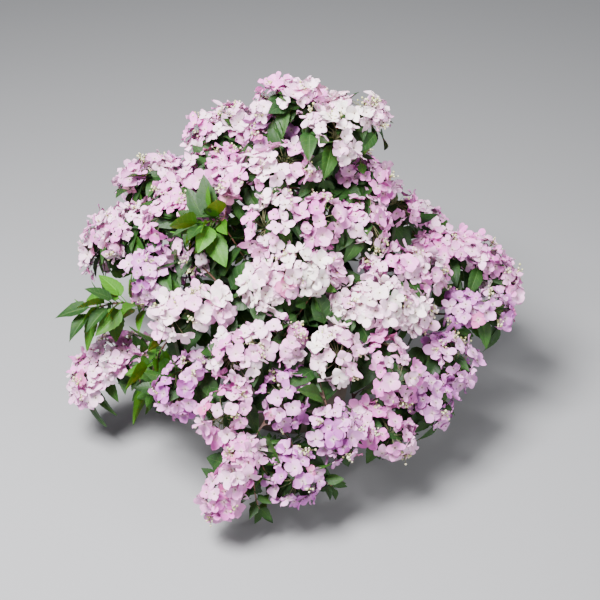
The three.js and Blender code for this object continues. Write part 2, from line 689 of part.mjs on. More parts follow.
for (const { body, segments, width, seed, room } of canes) {
  const others = [...fixed, ...canes.map((cane) => cane.room).filter((each) => each !== room)];
  for (const { segment, share, side } of leafRoots(segments, width)) {
    const wall = segments[segment][side];
    if (wall.opened) continue;
    const frame = wallFrame(body, wall, share);
    for (const pose of LEAF_POSES) {
      const place = leafPlace(frame, pose, seed + 7 * segment + side);
      const ample = roomForLeaf({
        ...place,
        length: LEAF_ROOM * place.length,
        width: LEAF_ROOM * place.width,
        thickness: place.thickness + 1,
      });
      const further = place.root.clone().addScaledVector(place.forward, STALK_CLEAR);
      const ahead = roomForLeaf({ ...place, root: further });
      const onFloor = ample.boundingBox().min[2] < 1;
      if (onFloor || meets(ample, [...others, ...leaves]) || meets(ahead, [room])) continue;
      growLeaf(body, body.socket(wall, share, STALK_HALF_LENGTH), place);
      leaves.push(ample);
      break;
    }
  }
}

for (const { stool, body } of groups) {
  const whole = solidOf(body.geometry()).add(solidOf(stump(stool)));
  add(`canes_${stool}`, geometryOf(whole), greenery);
}

export default plant;
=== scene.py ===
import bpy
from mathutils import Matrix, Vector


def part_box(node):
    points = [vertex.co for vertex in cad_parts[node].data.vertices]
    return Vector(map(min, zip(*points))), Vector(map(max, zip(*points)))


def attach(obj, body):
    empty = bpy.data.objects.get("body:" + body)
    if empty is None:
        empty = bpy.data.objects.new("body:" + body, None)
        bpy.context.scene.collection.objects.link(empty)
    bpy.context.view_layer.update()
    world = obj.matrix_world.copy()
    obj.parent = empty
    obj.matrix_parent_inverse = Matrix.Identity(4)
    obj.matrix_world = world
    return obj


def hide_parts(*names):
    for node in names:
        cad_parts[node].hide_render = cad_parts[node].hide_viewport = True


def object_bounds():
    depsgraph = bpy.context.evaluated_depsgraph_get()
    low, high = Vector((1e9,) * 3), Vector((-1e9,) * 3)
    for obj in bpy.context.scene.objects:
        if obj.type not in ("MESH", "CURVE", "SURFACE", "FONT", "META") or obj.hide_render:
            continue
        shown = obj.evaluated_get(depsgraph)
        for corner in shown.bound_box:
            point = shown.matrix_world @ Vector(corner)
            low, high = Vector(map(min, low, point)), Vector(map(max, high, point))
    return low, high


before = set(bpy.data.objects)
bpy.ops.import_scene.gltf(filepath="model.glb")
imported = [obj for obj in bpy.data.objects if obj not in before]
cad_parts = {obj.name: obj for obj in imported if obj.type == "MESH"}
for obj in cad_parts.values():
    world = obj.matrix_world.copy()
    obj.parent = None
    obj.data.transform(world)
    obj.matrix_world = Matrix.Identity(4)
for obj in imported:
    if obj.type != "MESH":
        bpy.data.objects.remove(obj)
cad_box = [list(corner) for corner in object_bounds()]

import bmesh
import bpy
import numpy as np
from mathutils import Vector


# The camera
# It looks down on the front of the plant, from a few steps away, and frames it a little off its middle.

LOOKS_AT = Vector((0.025, 0.0, 0.317))
CAMERA_ELEVATION = np.radians(34)
CAMERA_DISTANCE = 3.0
FRAME_WIDTH = 1.5

camera = bpy.data.objects.new("camera", bpy.data.cameras.new("camera"))
bpy.context.scene.collection.objects.link(camera)
bpy.context.scene.camera = camera
towards_camera = Vector((0.0, -np.cos(CAMERA_ELEVATION), np.sin(CAMERA_ELEVATION)))
camera.location = LOOKS_AT + CAMERA_DISTANCE * towards_camera
camera.rotation_euler = towards_camera.to_track_quat("Z", "Y").to_euler()
camera.data.sensor_width = 36
camera.data.lens = camera.data.sensor_width * CAMERA_DISTANCE / FRAME_WIDTH


# The studio
# A pale floor, a broad soft light overhead from the front left, and an even pale sky that fills the shadows.

FLOOR_WIDTH = 30.0
SKY_STRENGTH = 0.36


def soft_light(name, place, width, watts):
    """A square area light at a place, aimed at the middle of the plant."""
    lamp = bpy.data.objects.new(name, bpy.data.lights.new(name, "AREA"))
    bpy.context.scene.collection.objects.link(lamp)
    lamp.location = place
    lamp.rotation_euler = (Vector(place) - LOOKS_AT).to_track_quat("Z", "Y").to_euler()
    lamp.data.size = width
    lamp.data.energy = watts
    return lamp


soft_light("overhead_light", (-1.0, -1.1, 3.0), 1.2, 400)
soft_light("side_light", (2.4, -2.0, 1.8), 1.8, 55)
sky = bpy.data.worlds.new("sky")
sky.use_nodes = True
sky.node_tree.nodes["Background"].inputs["Color"].default_value = (0.93, 0.96, 1.0, 1)
sky.node_tree.nodes["Background"].inputs["Strength"].default_value = SKY_STRENGTH
bpy.context.scene.world = sky


class Wire:
    """One socket of a finish. Arithmetic on wires adds Math nodes."""

    def __init__(self, finish, socket):
        self.finish = finish
        self.socket = socket

    def math(self, operation, *numbers):
        return self.finish.add("Math", {"operation": operation}, [self, *numbers])

    def __add__(self, other):
        return self.math("ADD", other)

    def __sub__(self, other):
        return self.math("SUBTRACT", other)

    def __rsub__(self, other):
        return self.finish.add("Math", {"operation": "SUBTRACT"}, [other, self])

    def __mul__(self, other):
        return self.math("MULTIPLY", other)

    def __pow__(self, other):
        return self.math("POWER", other)

    def __abs__(self):
        return self.math("ABSOLUTE")

    __radd__ = __add__
    __rmul__ = __mul__

    def held(self):
        """The same number kept between 0 and 1."""
        return self.finish.add("Clamp", {}, [self])

    def smooth(self, low, high):
        """Rises smoothly from 0 at low to 1 at high."""
        settings = {"interpolation_type": "SMOOTHSTEP"}
        return self.finish.add("MapRange", settings, {"Value": self, "From Min": low, "From Max": high})


class Finish:
    """A material built from nodes, on one Principled shader."""

    def __init__(self, name):
        self.material = bpy.data.materials.new(name)
        self.material.use_nodes = True
        self.tree = self.material.node_tree
        self.shader = self.tree.nodes["Principled BSDF"]

    def add(self, kind, settings=None, values=(), out=0):
        """Adds a node: its settings first, then the values or wires of its sockets, by place or by name."""
        node = self.tree.nodes.new("ShaderNode" + kind)
        for name, value in (settings or {}).items():
            setattr(node, name, value)
        pairs = values.items() if isinstance(values, dict) else enumerate(values)
        for key, value in pairs:
            self.plug(node.inputs[key], value)
        return Wire(self, node.outputs[out])

    def plug(self, socket, value):
        if isinstance(value, Wire):
            self.tree.links.new(value.socket, socket)
        else:
            socket.default_value = (*value, 1) if socket.type == "RGBA" else value

    def set(self, **values):
        """Sets or feeds sockets of the shader, whose names are written with underscores."""
        for name, value in values.items():
            self.plug(self.shader.inputs[name.replace("_", " ")], value)

    def place(self):
        """Object coordinates."""
        return self.add("TexCoord", out="Object")

    def attribute(self, name, out="Vector"):
        return self.add("Attribute", {"attribute_name": name}, out=out)

    def parts(self, vector):
        """The three numbers of a vector, each as a wire."""
        node = self.add("SeparateXYZ", {}, [vector]).socket.node
        return [Wire(self, output) for output in node.outputs]

    def noise(self, vector, scale, detail=4.0, roughness=0.55):
        values = {"Vector": vector, "Scale": scale, "Detail": detail, "Roughness": roughness}
        return self.add("TexNoise", {}, values)

    def mix(self, share, low, high, blend="MIX"):
        """Goes from one colour to another as the share goes from 0 to 1."""
        node = self.tree.nodes.new("ShaderNodeMix")
        node.data_type = "RGBA"
        node.blend_type = blend
        for index, value in ((0, share), (6, low), (7, high)):
            self.plug(node.inputs[index], value)
        return Wire(self, node.outputs[2])

    def bump(self, height, depth, strength=1.0):
        return self.add("Bump", {}, {"Height": height, "Distance": depth, "Strength": strength})


def placed(name, mesh, finish, crease=None):
    """A mesh in the scene, in one finish, smooth but for edges sharper than the crease, in radians."""
    mesh.polygons.foreach_set("use_smooth", np.ones(len(mesh.polygons), dtype=bool))
    if crease:
        mesh.set_sharp_from_angle(angle=crease)
    mesh.materials.clear()
    mesh.materials.append(finish.material)
    made = bpy.data.objects.new(name, mesh)
    bpy.context.scene.collection.objects.link(made)
    return made


def piece(name, points, faces, finish, attributes=None, crease=None):
    """A piece from arrays of points and faces. Each attribute is a colour or a vector for every point."""
    mesh = bpy.data.meshes.new(name)
    mesh.from_pydata(points, [], faces)
    for label, values in (attributes or {}).items():
        kind, field = ("FLOAT_COLOR", "color") if values.shape[1] == 4 else ("FLOAT_VECTOR", "vector")
        mesh.attributes.new(label, kind, "POINT").data.foreach_set(field, values.astype(np.float32).ravel())
    return placed(name, mesh, finish, crease)


paper = Finish("floor_paper")
paper.set(Base_Color=(0.3, 0.3, 0.31), Roughness=0.9)
half_floor = FLOOR_WIDTH / 2
floor_corners = np.array([(-1, -1, 0), (1, -1, 0), (1, 1, 0), (-1, 1, 0)]) * half_floor
piece("floor", floor_corners, [(0, 1, 2, 3)], paper)


# The pot
# A thrown pot of unglazed grey-brown clay, with a deeper rim band and three drain holes in its floor.

POT_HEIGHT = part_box("pot")[1][2]
RIM_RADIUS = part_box("pot")[1][0]
RIM_DEPTH = 0.046
RIM_LIP = 0.012
FOOT_RADIUS = 0.142
WALL = 0.012
POT_FLOOR = 0.016
DRAIN_RADIUS = 0.013
DRAIN_RING = 0.082
POT_SIDES = 128
POT_CREASE = 1.1
HOLE_SIDES = 32


def rounded(corners, radii, steps=5):
    """A profile whose corners are rounded: each becomes a quadratic curve between points on its two sides."""
    corners, radii = np.array(corners), np.array(radii)[:, None]
    before, after = np.roll(corners, 1, axis=0), np.roll(corners, -1, axis=0)
    start = corners + radii * unit(before - corners)
    end = corners + radii * unit(after - corners)
    t = np.linspace(0, 1, steps)[:, None, None]
    curve = (1 - t) ** 2 * start + 2 * t * (1 - t) * corners + t**2 * end
    return curve.transpose(1, 0, 2).reshape(-1, 2)


def unit(vectors):
    """Each vector divided by its length."""
    return vectors / np.maximum(np.linalg.norm(vectors, axis=-1, keepdims=True), 1e-12)


def ring_walls(index):
    """The squares between rings of points, whose numbers are given ring by ring."""
    onward = np.roll(index, -1, axis=1)
    return np.stack([index[:-1], onward[:-1], onward[1:], index[1:]], axis=-1).reshape(-1, 4)


def closed_rings(rings, first_pole, last_pole):
    """The points and faces of rings stacked as (ring, point, 3), closed by a pole at each end."""
    points = np.concatenate([rings.reshape(-1, 3), [first_pole, last_pole]])
    first, last = len(points) - 2, len(points) - 1
    index = np.arange(first).reshape(rings.shape[:2])
    onward = np.roll(index, -1, axis=1)
    caps = [(first, b, a) for a, b in zip(index[0], onward[0])]
    caps += [(last, a, b) for a, b in zip(index[-1], onward[-1])]
    return points, [*ring_walls(index).tolist(), *caps]


def lathe(profile, sides):
    """A profile of (radius, height), whose ends are on the axis, turned about Z: a ring for each point."""
    radius, height = profile[1:-1, :1], profile[1:-1, 1:]
    angle = np.linspace(0, 2 * np.pi, sides, endpoint=False)
    rings = np.stack([radius * np.cos(angle), radius * np.sin(angle), height + 0 * angle], axis=-1)
    return closed_rings(rings, (0, 0, profile[0, 1]), (0, 0, profile[-1, 1]))


band_foot = POT_HEIGHT - RIM_DEPTH
under_band = FOOT_RADIUS + (RIM_RADIUS - RIM_LIP - FOOT_RADIUS) * band_foot / POT_HEIGHT
pot_corners = [
    (0, 0),
    (FOOT_RADIUS, 0),
    (under_band, band_foot),
    (RIM_RADIUS, band_foot + 0.003),
    (RIM_RADIUS, POT_HEIGHT),
    (RIM_RADIUS - RIM_LIP - WALL, POT_HEIGHT),
    (FOOT_RADIUS - WALL, POT_FLOOR),
    (0, POT_FLOOR),
]
pot_profile = rounded(pot_corners, [0, 0.005, 0.003, 0.004, 0.006, 0.006, 0.012, 0])
pot_points, pot_faces = lathe(pot_profile, POT_SIDES)

clay = Finish("clay")
spot = clay.place()
mottle = clay.noise(spot, 9.0, 6.0)
grit = clay.noise(spot, 420.0, 2.0)
across_wheel = clay.add("Mapping", {}, {"Vector": spot, "Scale": (1.5, 1.5, 240.0)})
throwing = clay.noise(across_wheel, 1.0, 2.0)
height_on_pot = clay.parts(spot)[2]
damp = 1 - height_on_pot.smooth(0.0, 0.09)
lime = (clay.noise(spot, 16.0, 7.0, 0.7) + height_on_pot * 0.6).smooth(0.6, 0.78)
body_colour = clay.mix(mottle.smooth(0.35, 0.7), (0.17, 0.125, 0.1), (0.27, 0.205, 0.165))
weathered = clay.mix(lime * 0.45, body_colour, (0.45, 0.4, 0.35))
clay_colour = clay.mix(damp * 0.55, weathered, (0.1, 0.082, 0.065))
clay.set(
    Base_Color=clay_colour,
    Roughness=(0.86 - damp * 0.2 + grit * 0.08).held(),
    Normal=clay.bump(throwing * 0.55 + grit * 0.3 + mottle * 0.4, 0.0012, 0.55),
)
pot = piece("clay_pot", pot_points, pot_faces, clay, crease=POT_CREASE)


def drill(body, places, radius, depth):
    """Cuts upright round holes through a piece, each with a cylinder that is then removed."""
    for at in places:
        bpy.ops.mesh.primitive_cylinder_add(vertices=HOLE_SIDES, radius=radius, depth=depth, location=at)
        cutter = bpy.context.object
        cut = body.modifiers.new("hole", "BOOLEAN")
        cut.object = cutter
        cut.solver = "EXACT"
        with bpy.context.temp_override(object=body, active_object=body):
            bpy.ops.object.modifier_apply(modifier=cut.name)
        bpy.data.objects.remove(cutter)


drain_angles = np.arange(3) * 2 * np.pi / 3
drains = DRAIN_RING * np.stack([np.sin(drain_angles), np.cos(drain_angles), 0 * drain_angles], axis=-1)
drill(pot, drains.tolist(), DRAIN_RADIUS, 4 * POT_FLOOR)
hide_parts("pot")
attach(pot, "root")


# The compost
# Dark, moist and crumbly potting compost, a little crowned, lying against the wall of the pot.

SOIL_TOP = 0.304
SOIL_CROWN = 0.01
SOIL_SINK = 0.003
SOIL_GAP = 0.0005
CRUMB = 0.006
SOIL_SIDES = 150
SOIL_RINGS = 46

soil_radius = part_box("soil")[1][0] - SOIL_GAP


def ripples(x, y, seed, scale, octaves=5):
    """Sums sine waves in drawn directions, each octave twice as fine and 0.6 times as high as the last."""
    draws = np.random.default_rng(seed)
    total = 0
    for octave in range(octaves):
        for _ in range(4):
            turn, phase = draws.uniform(0, 2 * np.pi, 2)
            wave = 2**octave * scale * (x * np.cos(turn) + y * np.sin(turn)) + phase
            total = total + 0.6**octave * np.sin(wave)
    return total / 4


share = np.linspace(0, 1, SOIL_RINGS) ** 0.8
turn = np.linspace(0, 2 * np.pi, SOIL_SIDES, endpoint=False)
soil_x = soil_radius * share[1:, None] * np.cos(turn)
soil_y = soil_radius * share[1:, None] * np.sin(turn)
crumbs = ripples(soil_x, soil_y, 11, 90.0) + 0.5 * ripples(soil_x, soil_y, 12, 700.0, 2)
edge_fade = 1 - share[1:, None] ** 12
soil_z = SOIL_TOP + SOIL_CROWN * (1 - share[1:, None]) - SOIL_SINK + 0.5 * CRUMB * crumbs * edge_fade
soil_ring = np.stack([soil_x, soil_y, soil_z], axis=-1)[::-1]
foot_radius = FOOT_RADIUS - WALL - SOIL_GAP
foot_z = POT_FLOOR + SOIL_GAP
soil_foot = np.stack([foot_radius * np.cos(turn), foot_radius * np.sin(turn), 0 * turn + foot_z], axis=-1)
soil_rings = np.concatenate([soil_foot[None], soil_ring])
soil_top = (0, 0, SOIL_TOP + SOIL_CROWN - SOIL_SINK)
soil_points, soil_faces = closed_rings(soil_rings, (0, 0, foot_z), soil_top)

compost = Finish("compost")
spot = compost.place()
lumps = compost.noise(spot, 120.0, 6.0, 0.7)
flecks = compost.noise(spot, 600.0, 2.0).smooth(0.62, 0.72)
peat = compost.mix(lumps.smooth(0.3, 0.7), (0.012, 0.008, 0.006), (0.06, 0.04, 0.028))
compost.set(
    Base_Color=compost.mix(flecks * 0.6, peat, (0.16, 0.115, 0.08)),
    Roughness=(0.8 + lumps * 0.2).held(),
    Normal=compost.bump(lumps + flecks * 0.5, 0.004, 0.9),
)
soil = piece("compost", soil_points, soil_faces, compost)
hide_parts("soil")
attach(soil, "root")


# The arches
# Each garland of flowers follows a cane that arches from one place to another. Its entry gives both places,
# how wide it is to each side, and its tint, under the stool that its cane rises from. All are in millimetres.
# A sprig is a fine side twig with flowers on its outer half.

GARLANDS = {
    "crown": {
        "spire": ((60, 60, 825), (-55, 30, 795), 56, "blush"),
        "top_right": ((95, 60, 785), (205, 20, 775), 50, "white"),
        "top_fall": ((45, 10, 790), (120, -40, 730), 46, "white"),
        "crown_back": ((5, 65, 735), (-70, 45, 722), 56, "mauve"),
        "crown_row": ((65, -30, 680), (-135, -65, 645), 62, "blush"),
        "crown": ((-10, -95, 645), (-60, -160, 567), 66, "blush"),
        "crown_right": ((75, -80, 630), (60, -130, 570), 64, "pink"),
    },
    "right": {
        "right_top": ((120, 10, 650), (215, 0, 615), 56, "pink"),
        "right_crown": ((146, -40, 597), (186, -95, 540), 60, "blush"),
        "right_shoulder": ((170, 60, 550), (280, 45, 510), 62, "pink"),
        "right_upper": ((310, 50, 415), (550, 10, 305), 60, "pink"),
    },
    "back_right": {
        "back_right_top": ((135, 200, 545), (190, 300, 430), 64, "blush"),
        "back_middle_right": ((120, 350, 520), (190, 440, 350), 66, "pink"),
        "back_low_right": ((300, 310, 370), (380, 370, 190), 66, "blush"),
        "right_back": ((395, 160, 330), (495, 215, 190), 64, "blush"),
    },
    "back": {
        "back_top": ((20, 150, 740), (70, 290, 620), 64, "pink"),
        "back_middle": ((-40, 360, 570), (-50, 460, 410), 66, "white"),
        "back_low": ((0, 430, 330), (20, 500, 130), 64, "pink"),
    },
    "back_left": {
        "left_top": ((-290, 200, 550), (-410, 210, 500), 46, "blush"),
        "back_crown": ((-90, 205, 670), (-200, 335, 540), 64, "blush"),
        "back_left_high": ((-290, 300, 500), (-390, 370, 350), 64, "mauve"),
        "back_low_left": ((-190, 400, 370), (-260, 460, 190), 66, "blush"),
        "left_back": ((-400, 200, 420), (-500, 240, 240), 64, "blush"),
    },
    "left": {
        "upper_left": ((-95, 132, 690), (-230, 142, 660), 54, "blush"),
        "upper_left_low": ((-85, 40, 645), (-230, 55, 600), 60, "pink"),
        "left_upper": ((-200, 100, 555), (-310, 105, 515), 62, "pink"),
        "left": ((-335, 95, 500), (-408, 60, 405), 60, "blush"),
        "left_inner": ((-160, -40, 565), (-320, -20, 525), 62, "pink"),
    },
    "front_left": {
        "diagonal_low": ((-150, -245, 460), (-285, -260, 415), 60, "white"),
        "left_middle": ((-285, -60, 480), (-330, -120, 400), 62, "mauve"),
        "front_left_upper": ((15, -290, 410), (-155, -330, 370), 64, "blush"),
        "left_front": ((-205, -305, 350), (-245, -340, 255), 64, "mauve"),
        "middle_left": ((-102, -379, 323), (-161, -409, 244), 58, "pink"),
        "left_low": ((-345, -100, 225), (-505, -160, 130), 84, "blush"),
    },
    "front": {
        "diagonal_high": ((95, -170, 510), (-90, -235, 480), 66, "white"),
        "middle": ((0, -345, 345), (-15, -395, 270), 60, "mauve"),
        "front_white": ((95, -280, 420), (105, -350, 340), 66, "white"),
        "low_mauve": ((85, -400, 295), (115, -430, 205), 64, "mauve"),
        "trail": ((-80, -448, 235), (-160, -492, 92), 48, "pink"),
        "low_front": ((15, -445, 215), (15, -475, 120), 68, "mauve"),
    },
    "front_right": {
        "right_lower": ((385, -85, 330), (520, -80, 310), 56, "mauve"),
        "right_middle": ((175, -115, 465), (345, -65, 410), 52, "blush"),
        "front_band": ((90, -210, 440), (300, -155, 370), 62, "white"),
        "front_right": ((190, -265, 370), (240, -335, 270), 66, "pink"),
        "right_front": ((335, -175, 300), (395, -225, 230), 68, "mauve"),
        "low_right": ((155, -345, 230), (260, -375, 175), 62, "pink"),
        "right_low": ((260, -260, 250), (355, -300, 180), 62, "mauve"),
    },
}
SHOOTS = {
    "left": {
        "lime_crown": ((-150, -100, 600), (-215, -120, 590)),
    },
    "front_left": {
        "lime_left": ((-330, -130, 380), (-470, -130, 380)),
        "lime_front": ((-245, -205, 380), (-320, -245, 240)),
    },
}
SPRIGS = {
    "left": {
        "inner_sprig": ((-160, -40, 565), (-250, -62, 436), 34, "pink"),
        "low_sprig": ((-160, -40, 565), (-192, -82, 458), 30, "blush"),
    },
}

HEART = np.array([0, 20, 330]) / 1000
UP = np.array([0.0, 0.0, 1.0])
OUTWARD_LIFT = 0.6
ARCH = 0.24


def dot(a, b):
    """The dot product of each pair of vectors, kept as a column."""
    return np.sum(a * b, axis=-1, keepdims=True)


def outward(at, along):
    """The way out of the plant: away from its heart and upwards, less the part that lies along the cane."""
    out = unit(at - HEART) + OUTWARD_LIFT * UP
    return unit(out - dot(out, along) * along)


class Arch:
    """A quadratic curve between two places, whose middle is pulled outwards by a share of its span."""

    def __init__(self, start, end, middle=None):
        self.start, self.end, self.middle = start, end, middle
        if middle is None:
            span = end - start
            halfway = (start + end) / 2
            self.middle = halfway + 2 * ARCH * np.linalg.norm(span) * outward(halfway, unit(span))
        self.steps = np.linspace(0, 1, 201)
        chords = np.diff(self.at(self.steps), axis=0)
        self.lengths = np.concatenate([[0], np.cumsum(np.linalg.norm(chords, axis=-1))])
        self.length = self.lengths[-1]

    def outer_half(self):
        return Arch(self.at(0.5), self.end, (self.middle + self.end) / 2)

    def at(self, t):
        """The curve's own formula: (1-t)^2 start + 2t(1-t) middle + t^2 end."""
        t = np.asarray(t)[..., None]
        return (1 - t) ** 2 * self.start + 2 * t * (1 - t) * self.middle + t**2 * self.end

    def station(self, share):
        """The place, the way along, the way out and the side at shares of the length."""
        t = np.interp(np.asarray(share) * self.length, self.lengths, self.steps)
        slope = (1 - t[..., None]) * (self.middle - self.start) + t[..., None] * (self.end - self.middle)
        at, along = self.at(t), unit(slope)
        out = outward(at, along)
        return at, along, out, np.cross(out, along)


def arch_between(start, end):
    """An arch between two places in millimetres."""
    return Arch(np.array(start) / 1000, np.array(end) / 1000)


# The garlands
# Heads of four-sepalled florets crowd along each arch, facing outwards, palest where they are freshest. The
# sepals are soft, thin and slightly ruffled, and stand round a tiny eye, which is dark partly in its own
# colour and partly as painted shade for the gap between the sepals.

TINTS = {
    "white": ((252, 246, 240), (242, 178, 226)),
    "blush": ((252, 228, 242), (234, 136, 214)),
    "pink": ((248, 200, 234), (220, 104, 198)),
    "mauve": ((238, 178, 230), (186, 90, 188)),
}
DEEP_PINK = (214, 84, 150)
DEEP_SHARE = 0.03
DEEP_STRENGTH = 0.7
# The eye's dark colour is partly painted shade, for the shaded gap between the sepals at the middle of a
# floret.
EYE_AND_SHADE_COLOUR = (92, 84, 60)
EYE_RADIUS = 0.0021
EYE_LIFT = 0.0012
SEPAL_BASE = (226, 222, 190)
SEPAL_FLUSH = (226, 138, 202)
SEPAL_VEIN = (198, 118, 180)
GARLAND_HALF_ANGLE = np.radians(106)
GARLAND_HEIGHT = 0.05
GARLAND_LIFT = 0.012
GARLAND_END = 0.12
HEAD_SPACING = 0.098
HEAD_SWELL = 0.1
ROW_LENGTH = 0.068
FLORET_WIDTH = 0.042
FLORET_SIZES = (0.7, 1.25)
FLORET_NOD = 0.42
FLORET_SPACING = 0.0248
THINNING = -0.3
GAP_WAVE = 75.0
AGE_WAVE = 60.0
FULL_GARLANDS = ("left_low", "diagonal_high", "front_band", "right_upper", "trail")
FLORET_LEVEL = 0.95
FLORET_DEPTH = 0.55
GOLDEN = (5**0.5 - 1) / 2
SEPAL_THICKNESS = 0.0007
SEPAL_WIDEST = 0.58
SEPAL_HALF_WIDTH = 0.245
SEPAL_LENGTHS = (0.43, 0.55)
SEPAL_WIDTHS = (0.8, 1.12)
SEPAL_RISE = (-0.06, 0.42)
SEPAL_CURL = (-0.05, 0.3)
BLADE_CREASE = 1.0
SEPAL_ALONG = np.array([0, 0.3, 0.6, 0.85, 1.0])
SEPAL_ACROSS = np.linspace(-1, 1, 3)


def linear(colour):
    """Turns a screen colour of 0 to 255 into light, by the standard curve."""
    share = np.asarray(colour) / 255
    return np.where(share <= 0.04045, share / 12.92, ((share + 0.055) / 1.055) ** 2.4)


def skin(arch, width, share, turn, level):
    """The form of a garland. Its section is an ellipse round a line just above the cane, as high as the
    garland and as wide as its width, times the level. It closes over both ends as a quarter circle does,
    and swells by a cosine in each head."""
    at, _, out, side = arch.station(np.clip(share, 0, 1))
    rows = max(2, round(arch.length / ROW_LENGTH))
    head = np.cos(2 * np.pi * ((1 - share) * arch.length / HEAD_SPACING - 0.5))
    near_end = np.minimum(share, 1 - share) * rows
    inset = np.clip(GARLAND_END + (1 - GARLAND_END) * near_end, 0, 1)
    size = level * np.sqrt(1 - (1 - inset) ** 2) * (1 - HEAD_SWELL + HEAD_SWELL * head)
    height = GARLAND_LIFT + size * GARLAND_HEIGHT * np.cos(turn)
    return at + height[..., None] * out + (size * width * np.sin(turn))[..., None] * side


def floret_places(arch, width, thinning, draws):
    """Sets florets out as seeds on a sunflower are: each is one step further along, and a golden share of the
    width further across. A pattern of sine waves opens gaps between them. Gives their middles, the way each
    faces, from two small steps on the skin, and a second pattern that tells how old each is."""
    girth = 2 * GARLAND_HALF_ANGLE * np.sqrt((GARLAND_HEIGHT**2 + width**2) / 2)
    count = int(round(girth * arch.length * 0.92 / FLORET_SPACING**2))
    number = np.arange(count)
    share = 0.02 + 0.96 * (number + 0.5) / count + draws.normal(0, 0.006, count)
    turn = GARLAND_HALF_ANGLE * (2 * ((number * GOLDEN + draws.uniform()) % 1) - 1) * 0.97
    ground = share * arch.length, turn * girth / (2 * GARLAND_HALF_ANGLE)
    gaps, age = (ripples(*ground, draws.integers(1000), wave, 2) for wave in (GAP_WAVE, AGE_WAVE))
    share, turn, age = (each[gaps > thinning] for each in (share, turn, age))
    count = len(share)
    level = FLORET_LEVEL - FLORET_DEPTH * draws.beta(1.0, 2.2, count)
    middle = skin(arch, width, share, turn, level)
    step = 0.02
    onward = skin(arch, width, share + step, turn, level) - skin(arch, width, share - step, turn, level)
    around = skin(arch, width, share, turn + step, level) - skin(arch, width, share, turn - step, level)
    facing = unit(np.cross(onward, around))
    at, _, out, _ = arch.station(np.clip(share, 0, 1))
    facing *= np.sign(dot(facing, middle - at))
    lift = 0.45 * out + 0.25 * UP
    age = (0.5 + 0.65 * age + draws.normal(0, 0.2, count)).clip(0, 1)[:, None]
    return middle, unit(facing + lift + draws.normal(0, FLORET_NOD, (count, 3))), share, age


def squares(rows, columns, offset=0):
    """The corners of the squares of a grid of points, row by row, in the order that faces up."""
    index = np.arange(rows * columns).reshape(rows, columns) + offset
    return np.stack([index[:-1, :-1], index[1:, :-1], index[1:, 1:], index[:-1, 1:]], axis=-1).reshape(-1, 4)


def blades(upper, lower):
    """Thin closed blades. Each has an upper and a lower grid of points, which share their rim. Gives the
    points and the faces of all the blades, whose grids are stacked as (blade, row, column, 3)."""
    count, rows, columns = upper.shape[:3]
    rim = rows * columns
    lower_index = np.arange(rim).reshape(rows, columns)
    lower_index[1:-1, 1:-1] = rim + np.arange((rows - 2) * (columns - 2)).reshape(rows - 2, columns - 2)
    top = squares(rows, columns)
    bottom = lower_index.reshape(-1)[top][:, ::-1]
    points = np.concatenate([upper.reshape(count, -1, 3), lower[:, 1:-1, 1:-1].reshape(count, -1, 3)], axis=1)
    faces = np.concatenate([top, bottom])[None] + (np.arange(count) * points.shape[1])[:, None, None]
    return points.reshape(-1, 3), faces.reshape(-1, 4)


def on_blades(values, count):
    """Values given on a grid for the upper side, repeated for the points of the lower side and for each
    blade."""
    flat = np.broadcast_to(values, (count, *values.shape[-3:]))
    inner = flat[:, 1:-1, 1:-1].reshape(count, -1, flat.shape[-1])
    whole = flat.reshape(count, -1, flat.shape[-1])
    return np.concatenate([whole, inner], axis=1).reshape(-1, flat.shape[-1])


def frames(facing, spin):
    """Two directions square to the way each floret faces, turned about it by its spin."""
    level = unit(np.cross(facing, np.array([0.31, 0.17, 0.93])))
    across = np.cross(facing, level)
    first = np.cos(spin)[..., None] * level + np.sin(spin)[..., None] * across
    return first, np.cross(facing, first)


def sepals(middle, facing, draws):
    """Four sepals round each eye. A sepal is widest past its middle and blunt at its tip. It rises from the
    eye and curls back, is a shallow channel along its vein, and ruffles along its edges."""
    count = len(middle)
    size = FLORET_WIDTH * draws.uniform(*FLORET_SIZES, (count, 1, 1, 1))
    spin = draws.uniform(0, 2 * np.pi, (count, 1)) + np.pi / 2 * np.arange(4)
    spin = spin + draws.normal(0, 0.12, (count, 4))
    along, across = np.meshgrid(SEPAL_ALONG, SEPAL_ACROSS, indexing="ij")
    beyond = (along - SEPAL_WIDEST) / np.where(along < SEPAL_WIDEST, 0.6, 0.46)
    half_width = SEPAL_HALF_WIDTH * (1 - beyond**2) ** 0.6 + 0.008
    phase = draws.uniform(0, 2 * np.pi, (count, 4, 1, 1))
    curl = draws.uniform(*SEPAL_CURL, (count, 4, 1, 1))
    length = draws.uniform(*SEPAL_LENGTHS, (count, 4, 1, 1))
    lap = 0.018 * (np.arange(4) % 2)[:, None, None]
    rise = draws.uniform(*SEPAL_RISE, (count, 4, 1, 1))
    x = size * length * along * (1 - 0.1 * across**2)
    y = size * half_width * across * draws.uniform(*SEPAL_WIDTHS, (count, 4, 1, 1))
    ruffle = 0.1 * along**2 * across * np.sin(2.4 * across + phase)
    ruffle = ruffle + 0.035 * along * np.sin(6 * along + phase)
    z = size * (lap * along + rise * along - curl * along**2 + 0.05 * along * across**2 + ruffle)
    first, second = (axes[:, :, None, None] for axes in frames(facing[:, None], spin))
    normal = facing[:, None, None, None]
    upper = middle[:, None, None, None] + x[..., None] * first + y[..., None] * second + z[..., None] * normal
    lower = upper - SEPAL_THICKNESS * normal
    grid = (count * 4, len(SEPAL_ALONG), len(SEPAL_ACROSS), 3)
    on_sepal = np.stack([along, across, 0 * along], axis=-1)
    return *blades(upper.reshape(grid), lower.reshape(grid)), on_blades(on_sepal, count * 4)


